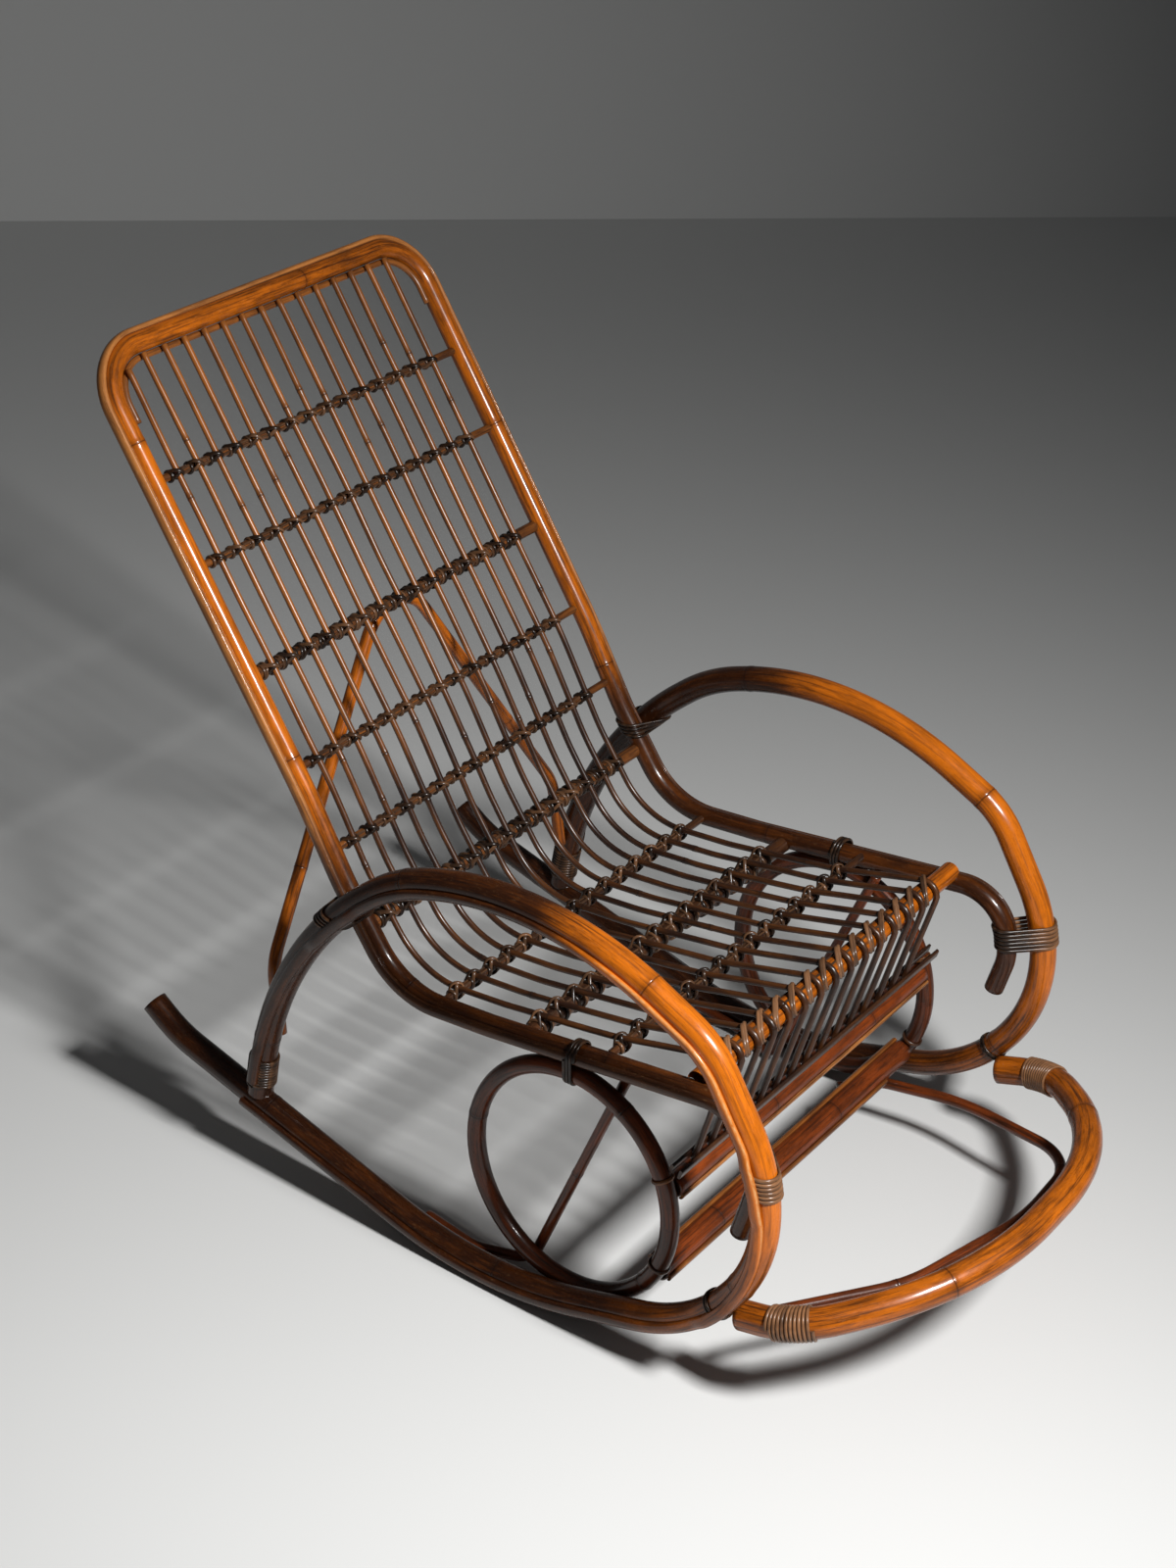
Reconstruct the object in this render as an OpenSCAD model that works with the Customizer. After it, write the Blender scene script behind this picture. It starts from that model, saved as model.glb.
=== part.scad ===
// Rattan rocking chair with a footrest loop.
// X runs across the chair, +Y runs to its back and +Z is up. The sitter faces -Y.
// The origin is on the floor, under the middle of the chair.

/* [Side frames] */
// Distance between the middle planes of the two side frames
side_span = 600; // [560:5:660]
// Diameter of the side frame poles
side_d = 32; // [29:1:35]
// Depth of the worn flat under each runner
sole_depth = 2; // [1:0.5:3]
// Width of the half round strips on the side frames
side_strip_w = 15; // [10:1:18]
// Thickness of the half round strips on the side frames
side_strip_t = 6; // [4:0.5:7]
// How far the side strips turn from the side of the pole to its underside
strip_drop = 0.6; // [0:0.1:1]

/* [Back and seat] */
// Diameter of the pole of the back and seat frame
back_d = 24; // [21:1:27]
// Height of the middle of the top rail over the lowest point of the runner's middle line
back_top = 948; // [900:5:1000]
// Bend radius of the two top corners
top_bend = 62; // [45:1:90]
// Width of the half round strip round the back and seat frame
back_strip_w = 14; // [10:1:16]
// Thickness of the half round strip round the back and seat frame
back_strip_t = 6; // [4:0.5:7]
// Diameter of the thin cane inside the top of the back
inner_strip_d = 8; // [6:0.5:10]
// Diameter of the long round rods
rod_d = 7.5; // [6:0.5:8.5]
// Distance across from the middle of the right pole of the back to the first rod
rod_start_space = 29.4; // [28:0.2:36]
// Distance across from the last rod to the middle of the left pole of the back
rod_end_space = 60.4; // [52:0.2:66]
// Diameter of the thin cross pieces
thin_rung_d = 10; // [8:0.5:12]
// Diameter of the thick cross piece in the middle of the back
mid_rung_d = 15; // [12:0.5:17]
// Diameter of the thick cross piece low on the back
low_rung_d = 18; // [14:0.5:20]
// Diameter of the thick cross piece under the seat
seat_rung_d = 20; // [16:0.5:22]
// Diameter of the roll at the front of the seat
roll_d = 24; // [20:1:27]
// Width of the two flat strips that hold the lower ends of the rods
apron_w = 12; // [9:1:16]
// Thickness of those two flat strips
apron_t = 4; // [3:0.5:6]

/* [Supports] */
// Diameter of the cane of the oval rings
ring_d = 22; // [18:1:24]
// Distance from front to back of the oval rings, middle line to middle line
ring_depth = 268; // [240:2:280]
// Diameter of the upper front stretcher
upper_stretcher_d = 26; // [22:1:28]
// Diameter of the lower front stretcher
lower_stretcher_d = 30; // [26:1:32]
// Width of the thin strips on the two stretchers
thin_strip_w = 9; // [7:0.5:11]
// Thickness of the thin strips on the two stretchers
thin_strip_t = 4; // [3:0.5:5]
// Diameter of the bent brace behind the back
rear_brace_d = 16; // [13:1:18]
// Diameter of the two bent braces under the seat
seat_brace_d = 13; // [11:0.5:14]

/* [Footrest] */
// Diameter of the pole of the footrest loop
loop_d = 35; // [31:1:37]
// Diameter of the thinner cane inside the footrest loop
inner_cane_d = 14; // [12:0.5:15]

/* [Cane ties] */
// Thickness of the cane that binds the joints
tie_d = 2.8; // [2.4:0.1:3.2]
// Clear space between neighbouring turns of a binding
tie_space = 1.4; // [1:0.1:1.8]
// Width of the cane knots on the rods
knot_w = 4; // [3:0.5:5]
// Thickness of the cane knots on the rods
knot_t = 2.2; // [1.6:0.1:2.6]
// Space left between two pieces that seat on each other
seat_gap = 0.3; // [0.2:0.05:0.4]

/* [Hidden] */
$fn = 48;

// Colours of the lit poles, the shaded poles, the rods and the bindings
amber = [0.72, 0.38, 0.10];
brown = [0.45, 0.20, 0.09];
rod_brown = [0.55, 0.34, 0.18];
tie_brown = [0.30, 0.22, 0.16];

// Largest turn between two rings of a swept pole and of a rod, in degrees
bend_step = 16;
thin_step = 24;
// How far the straight spans between rings may cut inside a bend, for poles and for rods
bend_cut = 1.2;
thin_cut = 2;
// Sides of the thick poles, of the thin poles and of the rods
pole_sides = 10;
cane_sides = 8;
rod_sides = 6;
// Number of long round rods
rod_count = 15;

// Side view of a side frame, from the rear tip of the runner to the foot of the rear leg.
// Each corner is [y, z, bend radius], and z is measured from the floor side of the drawing.
side_line = [
    [895, 155], [855, 126, 152], [372, -10, 470], [96, 79, 215], [-30, 255, 210], [90, 452, 110],
    [304, 557, 387], [503, 487, 230], [690, 326, 514], [724, 95]];
// Side view of the back and seat frame, from its curled front end to the back
seat_line = [
    [62, 203], [42, 285, 60], [56, 368, 60], [401, 322, 299], [530, 310, 99], [611, 423, 298],
    [671, 526, 590]];
// Slope of the back above its last bend, in degrees
back_slope = 56;
// Side view of the front of the seat, which the rods follow over the cross pieces
seat_front = [[250, 347, 300], [106, 385]];
// Height of the lowest cross piece of the back, and how far up to the top rail each of the six is
low_rung_z = 384;
back_rung_part = [0.795, 0.645, 0.452, 0.287, 0.136, 0];
// Places from front to back of the three cross pieces of the seat
seat_rung_y = [475, 358, 247];
// Height of the apron strips, and how far the rods reach below the strips' middle
apron_z = 248;
rod_below = 5;
// Heights of the middles of the two front stretchers
upper_stretcher_z = 216;
lower_stretcher_z = 94;
// Middle of the oval rings from front to back, and their lowest middle line over that of the runners
ring_y = 281;
ring_low = 14;
// Corners of half of the rear brace, of a seat brace and of half of the footrest loop
brace_foot_z = 178;
brace_knee = [272, 722, 270, 80];
brace_bend = 62;
seat_brace_line = [[220, 342], [346, 8, 32], [412, 8, 60], [484, 18]];
loop_line = [[283, 41.4], [288, -28, 110], [150, -168, 300]];
loop_slope = 0.31;
loop_zero_z = 124;
// Corners of the thinner cane inside the footrest loop
inner_cane_line = [
    [-264.5, 28, 106.5], [-120, -70, 104, 220], [60, -116, 104, 260], [198, -108, 98, 70], [230, 60, 84, 300],
    [218, 170, 71, 40], [176, 203, 71]];
// Number of turns of each binding
foot_turns = 10;
footrest_turns = 8;
front_turns = 7;
back_turns = 4;
band_turns = 2;
// Points on each turn of a binding, and the sides of its cane
turn_points = 8;
tie_sides = 3;
// Turn of the knots from the rods, and how much wider than the rod their tops and their feet are
knot_turn = 35;
knot_top_part = 0.75;
knot_foot_part = 1.35;
// Space that keeps round bindings off a pole's corners
corner_space = 0.5;

// Small helpers
function unit(v) = v / norm(v);
function yz(x, c) = [x, c[0], c[1], len(c) > 2 ? c[2] : 0];
function least(a, b) = a < b ? a : b;

// Where a corner starts to bend, and the points along its bend
function place(c) = [c[0], c[1], c[2]];
function heading(c, i) = unit(place(c[i + 1]) - place(c[i]));
function bend_angle(c, i) = acos(least(1, heading(c, i - 1) * heading(c, i)));
function inward(v, w) = unit(w - v * (v * w));
function bend_start(c, i) = place(c[i]) - heading(c, i - 1) * c[i][3] * tan(bend_angle(c, i) / 2);
function bend_centre(c, i) = bend_start(c, i) + inward(heading(c, i - 1), heading(c, i)) * c[i][3];
function bend_points(c, i, cut, step) =
    let (
        v = heading(c, i - 1),
        n = inward(v, heading(c, i)),
        a = bend_angle(c, i),
        k = ceil(a / least(step, 2 * acos(1 - cut / c[i][3]))))
    [for (j = [0:k]) bend_centre(c, i) + c[i][3] * (v * sin(a * j / k) - n * cos(a * j / k))];
// All the points of a bent pole from its corners [x, y, z, bend radius]
function route(c, cut = bend_cut, step = bend_step) = concat(
    [place(c[0])],
    [for (i = [1:len(c) - 2]) each bend_points(c, i, cut, step)],
    [place(c[len(c) - 1])]);
// The same points with more of them on the long straights
function filled(p, most) = concat(
    [for (i = [0:len(p) - 2]) let (k = ceil(norm(p[i + 1] - p[i]) / most))
        for (j = [0:k - 1]) p[i] + (p[i + 1] - p[i]) * j / k],
    [p[len(p) - 1]]);

// Directions along a route, and a side direction carried along it without twist
function ahead(p, i) = unit(p[least(i + 1, len(p) - 1)] - p[i > 0 ? i - 1 : 0]);
function headings(p) = [for (i = [0:len(p) - 1]) ahead(p, i)];
function square_to(v, t) = unit(v - t * (v * t));
function sides_of(t, start) = [
    for (i = 0, m = square_to(start, t[0]); i < len(t);
        i = i + 1, m = i < len(t) ? square_to(m, t[i]) : m) m];

// Outlines across a pole: [out, across] pairs
function round_outline(d, sides) =
    [for (k = [0:sides - 1]) d / 2 * [cos(360 * k / sides), sin(360 * k / sides)]];
// Half round strip: [part of its thickness, part of its width] at each corner
crown = [[0, -0.5], [1, -0.2], [1, 0.2], [0, 0.5]];
function half_round_outline(w, t, off) = [for (c = crown) [off + t * c[0], w * c[1]]];
// Rings of points: one outline at each point of a route, turned to its side direction
function rings(p, side, outlines) =
    let (t = headings(p), m = sides_of(t, side))
    [for (i = [0:len(p) - 1]) [for (q = outlines[i]) p[i] + q[0] * m[i] + q[1] * cross(t[i], m[i])]];

// A closed skin over rings of points
module skin(rings, closed = false) {
    n = len(rings);
    s = len(rings[0]);
    spans = closed ? n - 1 : n - 2;
    walls = [
        for (i = [0:spans]) for (k = [0:s - 1])
            let (
                a = i * s + k,
                b = i * s + (k + 1) % s,
                c = (i + 1) % n * s + k,
                d = (i + 1) % n * s + (k + 1) % s)
            each [[a, c, d], [a, d, b]]];
    last = (n - 1) * s;
    caps = closed ? [] : [for (k = [1:s - 2]) each [[0, k, k + 1], [last, last + k + 1, last + k]]];
    polyhedron([for (r = rings) each r], concat(walls, caps));
}

// A round pole along a route
module pole(p, d, sides, corner = [1, 0.01, 0.02]) {
    skin(rings(p, corner, [for (q = p) round_outline(d, sides)]));
}

// Middle planes of the side frames, the back frame and the rings, from what lies between them
side_x = side_span / 2;
back_x = side_x - side_d / 2 - back_strip_t - back_d / 2 - 2 * seat_gap;
ring_x = side_x - side_d / 2 - ring_d / 2 - seat_gap;

// The corners of both frames in space
side_corners = [for (c = side_line) yz(side_x, c)];
bend_middle = bend_centre(side_corners, 2);
bend_z = bend_middle[2] - side_corners[2][3];
floor_z = bend_z - side_d / 2 + sole_depth;
back_top_z = bend_z + back_top;
back_rung_z = [for (f = back_rung_part) low_rung_z + f * (back_top_z - low_rung_z)];
last_bend = seat_line[len(seat_line) - 1];
back_top_y = last_bend[0] + (back_top_z - last_bend[1]) / tan(back_slope);
back_side = concat([for (c = seat_line) yz(back_x, c)], [[back_x, back_top_y, back_top_z, top_bend]]);
left_end_up = 0.4;
left_end = back_side[0] + left_end_up * (back_side[1] - back_side[0]);
back_corners = concat(
    [for (c = back_side) [-c[0], c[1], c[2], c[3]]],
    [for (i = [len(back_side) - 1:-1:1]) back_side[i]],
    [[left_end[0], left_end[1], left_end[2], 0]]);
back_route = route(back_corners);
// The route of a side frame has its own rings at both ends of the flat under the runner
sole_half = 30;
sole_points = [for (s = [sole_half, -sole_half])
    [side_x, bend_middle[1] + s, bend_middle[2] - sqrt(pow(side_corners[2][3], 2) - s * s)]];
// Other rings of the bend that lie within this distance of its lowest point give way to those two
sole_clear = 1.5 * sole_half;
function at_sole(q) = norm(q - [side_x, bend_middle[1], bend_z]) < sole_clear;
side_all = route(side_corners);
sole_first = [for (i = [0:len(side_all) - 1]) if (at_sole(side_all[i])) i][0];
side_route = concat(
    [for (i = [0:sole_first - 1]) side_all[i]],
    sole_points,
    [for (i = [sole_first:len(side_all) - 1]) if (!at_sole(side_all[i])) side_all[i]]);

// The footrest loop
function loop_point(c, side) = [side * c[0], c[1], loop_zero_z - loop_slope * c[1], len(c) > 2 ? c[2] : 0];
loop_corners = concat(
    [for (c = loop_line) loop_point(c, -1)],
    [for (i = [2:-1:0]) loop_point(loop_line[i], 1)]);
loop_route = route(loop_corners);

// Everything is drawn from the lowest middle line of the runners and put on the floor
front_y = loop_line[2][1] - loop_d / 2;
rear_y = back_top_y
    + (back_d / 2 + seat_gap + back_strip_t * crown[2][0]) * cos(back_slope)
    + back_strip_w * crown[2][1] * sin(back_slope);
middle_y = (front_y + rear_y) / 2;
module placed() {
    translate([0, -middle_y, -floor_z])
        children();
}

// Point and slope where a route passes a height or a place from front to back
function passes(p, axis, value) =
    [for (i = [0:len(p) - 2])
        if ((p[i][axis] - value) * (p[i + 1][axis] - value) <= 0 && p[i][axis] != p[i + 1][axis])
            let (f = (value - p[i][axis]) / (p[i + 1][axis] - p[i][axis]), d = p[i + 1] - p[i])
            [p[i] + d * f, d[1] > 0 ? atan2(d[2], d[1]) : atan2(-d[2], -d[1])]];

// The right and left side frames: the leg's end is cut to sit on the runner
foot_axis = heading(side_corners, 8);
cope_part = 0.64;
function runner_top(x, y) =
    let (
        below = passes(side_route, 1, y)[0],
        half = x - side_x,
        r = side_d / 2 + seat_gap)
    below[0][2] + sqrt(r * r - least(half * half, r * r * cope_part)) / cos(below[1]);
function on_runner(v) =
    let (y = v[1] + (runner_top(v[0], v[1]) - v[2]) * foot_axis[1] / foot_axis[2])
    [v[0], y, runner_top(v[0], y)];
function worn(v) = [v[0], v[1], v[2] < floor_z ? floor_z : v[2]];
function side_rings() =
    let (
        all = rings(side_route, [1, 0, 0], [for (q = side_route) round_outline(side_d, pole_sides)]),
        n = len(all))
    [for (i = [0:n - 1]) [for (v = all[i]) i == n - 1 ? on_runner(v) : worn(v)]];
module side_frame(side) {
    color(amber)
        placed()
        mirror([side < 0 ? 1 : 0, 0, 0])
        skin(side_rings());
}
module right_side_frame() { side_frame(-1); }
module left_side_frame() { side_frame(1); }

// Bindings: a coil that steps along an axis while it goes round an outline
turn_pitch = tie_d + tie_space;
function coil(origin, n, b, t, outline, turns) =
    let (k = len(outline))
    [for (i = [0:turns * k])
        origin + n * outline[i % k][0] + b * outline[i % k][1] + t * turn_pitch * (i / k - turns / 2)];
// A coil round two poles that run side by side. It steps along axis 1 or 2 and keeps to both middle lines.
// Each reach is the distance of the coil's middle line from the middle line of its pole.
function pair_coil(axis, at, turns, poles, reach) =
    [for (i = [0:turns * turn_points])
        let (
            h = at + turn_pitch * (i / turn_points - turns / 2),
            c = [for (p = poles) passes(p, axis, h)[0]],
            n = unit(c[1][0] - c[0][0]),
            b = cross(axis == 1 ? [0, 1, 0] : [0, 0, 1], n),
            a = 360 * (i + 0.5) / turn_points,
            k = cos(a) > 0 ? 1 : 0,
            v = reach[k] / cos(180 / turn_points) * (n * cos(a) + b * sin(a)),
            s = axis == 1 ? [1, 1, 1 / cos(c[k][1])] : [1, 1 / abs(sin(c[k][1])), 1])
        c[k][0] + [v[0] * s[0], v[1] * s[1], v[2] * s[2]]];
// The least clear space between the turns of a coil, from its points
function turn_gap(p) =
    min([for (i = [0:len(p) - 1]) for (j = [i + turn_points - 2:1:least(i + turn_points + 2, len(p) - 1)])
        norm(p[j] - p[i])]) - tie_d;
module binding(name, p) {
    echo(str("least gap of ", name), turn_gap(p));
    first = p[0] + unit(p[0] - p[1]) * tie_d;
    last = p[len(p) - 1] + unit(p[len(p) - 1] - p[len(p) - 2]) * tie_d;
    pole(concat([first], p, [last]), tie_d, tie_sides);
}
function over_pole(d) = d / 2 + tie_d / 2 + seat_gap;

// Where each binding lies: [middle, direction of the pole there]
function place_on(p, axis, value, nth) =
    let (q = passes(p, axis, value)[nth]) [q[0], [0, cos(q[1]), sin(q[1])]];
foot_start = 11;
foot_top = on_runner(place(side_corners[9]));
leg_corners = [concat(foot_top, 0), side_corners[8], side_corners[7]];
foot_middle = foot_top - foot_axis * (foot_start + foot_turns * turn_pitch / 2);
front_lash_z = 313;
front_lash = place_on(side_route, 2, front_lash_z, 0);
curl_band_z = 128;
front_curl = route([for (i = [2:5]) side_corners[i]]);
curl_band = place_on(front_curl, 2, curl_band_z, 0);
crossing_z = 402;
rear_leg = route([for (i = [6:9]) side_corners[i]]);
crossing = passes(rear_leg, 2, crossing_z)[0];

// The half round strips on the side frames, from the foot along the runner, curl and arm to the foot again.
// They pass over the bindings.
strip_start_y = 738;
strip_end_z = 128;
strip_step = 45;
// A strip lies lifted over a binding and this far beyond it, and comes down over the rise's length
lift_beyond = 13;
lift_rise = 18;
binding_places = [
    [foot_middle, foot_turns * turn_pitch / 2], [front_lash[0], front_turns * turn_pitch / 2],
    [curl_band[0], band_turns * turn_pitch / 2], [crossing[0], back_turns * turn_pitch / 2 + side_d / 2]];
function part_of(v) = max(0, least(1, v));
lift_most = (over_pole(side_d) + corner_space) / cos(180 / turn_points) + (tie_d - side_d + bend_cut) / 2;
function lift(p) =
    lift_most
    * max([for (w = binding_places) part_of((w[1] + lift_beyond + lift_rise - norm(p - w[0])) / lift_rise)]);
strip_corners =
    let (q = side_corners, f = heading(q, 1), g = heading(q, 8))
    concat(
        [place(q[2]) - f * (strip_start_y - q[2][1]) / -f[1]],
        [for (i = [2:8]) q[i]],
        [place(q[9]) - g * (strip_end_z - q[9][2]) / -g[2]]);
// Near the floor the strips stay on the side of the pole
drop_height = 140;
drop_least = 0.2;
function drop_at(p) = strip_drop * max(drop_least, part_of((p[2] - bend_z) / drop_height));
function outward(p, t) = unit([1, 0, 0] + drop_at(p) * square_part([0, 0, -1], t));
function square_part(v, t) = v - t * (v * t);
function strip_rings(p, t) =
    [for (i = [0:len(p) - 1])
        let (
            m = outward(p[i], t[i]),
            line = half_round_outline(side_strip_w, side_strip_t, side_d / 2 + seat_gap + lift(p[i])))
        [for (q = line) p[i] + q[0] * m + q[1] * cross(t[i], m)]];
module side_strip(side) {
    p = filled(route(strip_corners), strip_step);
    color(amber)
        placed()
        mirror([side < 0 ? 1 : 0, 0, 0])
        skin(strip_rings(p, headings(p)));
}
module right_side_strip() { side_strip(-1); }
module left_side_strip() { side_strip(1); }

// The back and seat frame, and the half round strip that follows its outer side down to the front lashings
back_strip_low = 312;
module back_frame() {
    color(amber)
        placed()
        pole(back_route, back_d, pole_sides);
}
module back_strip() {
    kept = [for (q = back_route) if (q[2] > back_strip_low) q];
    line = half_round_outline(back_strip_w, back_strip_t, back_d / 2 + seat_gap);
    color(amber)
        placed()
        skin(rings(kept, [-1, 0, 0], [for (q = kept) line]));
}

// The plane of the rods lies in front of the middle line of the back frame
rod_off = thin_rung_d / 2 + rod_d / 2 + seat_gap;
back_normal = [-sin(back_slope), cos(back_slope)];
back_along = [cos(back_slope), sin(back_slope)];
back_top_point = [back_top_y, back_top_z];
// The thin cane inside the top of the back, which the rods end on
inner_below = back_d / 2 + inner_strip_d / 2 + seat_gap;
inner_forward = rod_off - rod_d / 2 - inner_strip_d / 2 - seat_gap;
inner_leg = 66;
inner_top = back_top_point - back_along * inner_below + back_normal * inner_forward;
inner_low = inner_top - back_along * inner_leg;
inner_x = back_x - inner_below;
inner_bend = top_bend - inner_below;
module top_inner_strip() {
    corners = [
        yz(-inner_x, inner_low), [-inner_x, inner_top[0], inner_top[1], inner_bend],
        [inner_x, inner_top[0], inner_top[1], inner_bend], yz(inner_x, inner_low)];
    color(rod_brown)
        placed()
        pole(route(corners), inner_strip_d, cane_sides);
}

// The long rods: down the back, along the seat, over the front roll and down to the apron strips
function flat_unit(a, b) = let (d = [b[0] - a[0], b[1] - a[1]]) d / norm(d);
function turned_up(d) = [-d[1], d[0]];
function moved(a, b, c, off) =
    let (m = turned_up(flat_unit(b, a)), n = turned_up(flat_unit(c, b)))
    [b[0], b[1]] + off * (m + n) / (1 + m * n);
frame_side = concat([back_top_point], [for (i = [6:-1:3]) seat_line[i]], [seat_front[0]]);
rod_top_space = sqrt(pow((back_d + rod_d) / 2 + seat_gap, 2) - pow(least(rod_off, back_d / 2), 2)) + seat_gap;
// How far the rail has dropped at distance x from the middle, where it turns into its corner
function rail_drop(x) = let (f = max(0, x - back_x + top_bend)) top_bend - sqrt(top_bend * top_bend - f * f);
function rod_top(x) =
    back_top_point - back_along * (rod_top_space + rail_drop(abs(x) + rod_d / 2)) + back_normal * rod_off;
roll_bend = roll_d / 2 + rod_d / 2 + seat_gap;
function ring_front(z) = ring_y - ring_depth / 2 * sqrt(1 - pow((z - ring_middle_z) / ring_half, 2));
seat_above_ring = passes([for (q = back_route) if (q[0] > 0) q], 1, ring_y)[0][0][2];
ring_low_z = bend_z + ring_low;
ring_high_z = seat_above_ring
    - sqrt(pow((back_d + ring_d) / 2 + seat_gap, 2) - pow(ring_x - back_x, 2));
ring_middle_z = (ring_low_z + ring_high_z) / 2;
ring_half = (ring_high_z - ring_low_z) / 2;
apron_lean = 3.0;
rod_end_y = ring_front(apron_z) - ring_d / 2 - 2 * seat_gap - apron_t - rod_d / 2 - apron_lean;
function rod_side_at(x) = concat(
    [rod_top(x)],
    [for (i = [1:4])
        concat(moved(frame_side[i - 1], frame_side[i], frame_side[i + 1], rod_off), frame_side[i][2])],
    [[seat_front[0][0], seat_front[0][1] + rod_off, seat_front[0][2]]],
    [[seat_front[1][0], seat_front[1][1] + rod_off, roll_bend]],
    [[rod_end_y, apron_z - rod_below]]);
rod_side = rod_side_at(0);
rod_corners = [for (c = rod_side) yz(0, c)];
rod_route = route(rod_corners, thin_cut, thin_step);
rod_pitch = (2 * back_x - rod_start_space - rod_end_space) / (rod_count - 1);
function rod_x(i) = rod_start_space - back_x + (i - 1) * rod_pitch;
module rod(i) {
    color(rod_brown)
        placed()
        pole(
            route([for (c = rod_side_at(rod_x(i))) yz(rod_x(i), c)], thin_cut, thin_step),
            rod_d, rod_sides, [0, -1, 0]);
}

// Cross pieces lie behind or under the rods. Their ends are hollowed to seat on the back and seat frame.
half_frame = [for (q = back_route) if (q[0] > 0) q];
roll_start = bend_start(rod_corners, 6);
roll_slope = atan2(heading(rod_corners, 5)[2], heading(rod_corners, 5)[1]) - 180;
function behind(at, d) = at[0] + (rod_d / 2 + seat_gap + d / 2) * [0, sin(at[1]), -cos(at[1])];
function back_at(i) = passes(rod_route, 2, back_rung_z[i - 1])[0];
function seat_at(i) = i == 4 ? [roll_start, roll_slope] : passes(rod_route, 1, seat_rung_y[i - 1])[0];
module cross_piece(at, d, seat, lit) {
    c = behind(at, d);
    pole_at = seat ? passes(half_frame, 1, c[1])[0] : passes(half_frame, 2, c[2])[0];
    color(lit ? amber : rod_brown)
        placed()
        difference() {
            translate([-back_x, c[1], c[2]])
                rotate([0, 90, 0])
                cylinder(d = d, h = 2 * back_x);
            for (side = [-1, 1])
                translate([side * back_x, pole_at[0][1], pole_at[0][2]])
                    rotate([pole_at[1] - 90, 0, 0])
                    cylinder(d = back_d + 2 * seat_gap, h = 5 * back_d, center = true);
        }
}

// Knots: at each crossing a strap of cane slants over the rod, and its ends come down beside it to
// the cross piece. It is drawn across (along X), up (away from the cross piece) and along the rod.
knot_r = rod_d / 2 + seat_gap;
knot_clear = (knot_r + knot_w / 2 * sin(knot_turn)) / cos(knot_turn);
knot_top = knot_top_part * knot_clear;
knot_foot = knot_foot_part * knot_clear;
knot_line = [[-knot_foot, -rod_d / 2], [-knot_top, knot_r], [knot_top, knot_r], [knot_foot, -rod_d / 2]];
knot_ridge = [[0, -knot_w / 2], [knot_t, 0], [0, knot_w / 2]];
module knots(at) {
    along = [0, cos(at[1]), sin(at[1])];
    up = [0, -sin(at[1]), cos(at[1])];
    for (i = [1:rod_count]) {
        middle = [rod_x(i), at[0][1], at[0][2]];
        across = [cos(knot_turn), 0, 0] + along * sin(knot_turn);
        p = [for (q = knot_line) middle + q[0] * across + q[1] * up];
        skin(rings(p, up, [for (q = p) knot_ridge]));
    }
}
back_rung_d = [thin_rung_d, thin_rung_d, mid_rung_d, thin_rung_d, thin_rung_d, low_rung_d];
seat_rung_ds = [thin_rung_d, seat_rung_d, thin_rung_d, roll_d];
module back_rung(i) { cross_piece(back_at(i), back_rung_d[i - 1], false, i == 3 || i == 6); }
module seat_rung(i) { cross_piece(seat_at(i), seat_rung_ds[i - 1], true, i == 4); }
module back_knots() {
    color(tie_brown)
        placed()
        for (i = [1:6]) knots(back_at(i));
}
module seat_knots() {
    color(tie_brown)
        placed()
        for (i = [1:4]) knots(seat_at(i));
}

// The two flat strips that hold the lower ends of the rods, nailed to the fronts of the rings
apron_tilt = atan2(rod_side[6][0] - rod_end_y, rod_side[6][1] - apron_z + rod_below);
module apron_strip(front) {
    away = rod_d / 2 + seat_gap + apron_t / 2;
    y = rod_end_y + rod_below * sin(apron_tilt);
    color(rod_brown)
        placed()
        translate([0, y, apron_z])
        rotate([-apron_tilt, 0, 0])
        translate([0, front ? -away : away, 0])
        cube([2 * ring_x, apron_t, apron_w], center = true);
}
module apron_front_strip() { apron_strip(true); }
module apron_back_strip() { apron_strip(false); }

// The two front stretchers between the rings, each with thin half round strips
stretcher_half = ring_x - ring_d / 2 - seat_gap;
module stretcher(z, d) {
    translate([-stretcher_half, ring_front(z), z])
        rotate([0, 90, 0])
        cylinder(d = d, h = 2 * stretcher_half);
}
// A thin strip on a stretcher: angle 0 is its front, 90 its top
module thin_strip(z, d, angle, from, to) {
    translate([from, ring_front(z), z])
        rotate([-angle, 0, 0])
        rotate([0, 90, 0])
        rotate([0, 0, -90])
        linear_extrude(to - from)
        polygon(half_round_outline(thin_strip_w, thin_strip_t, d / 2 + seat_gap));
}
module upper_stretcher() {
    color(brown)
        placed()
        stretcher(upper_stretcher_z, upper_stretcher_d);
}
module upper_stretcher_strip() {
    color(amber)
        placed()
        thin_strip(upper_stretcher_z, upper_stretcher_d, -35, -stretcher_half, stretcher_half);
}
module lower_stretcher() {
    color(brown)
        placed()
        stretcher(lower_stretcher_z, lower_stretcher_d);
}
module lower_stretcher_strips() {
    color(amber)
        placed() {
            thin_strip(lower_stretcher_z, lower_stretcher_d, -20, -stretcher_half, stretcher_half - 60);
            thin_strip(lower_stretcher_z, lower_stretcher_d, 130, -stretcher_half, stretcher_half);
        }
}

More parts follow.
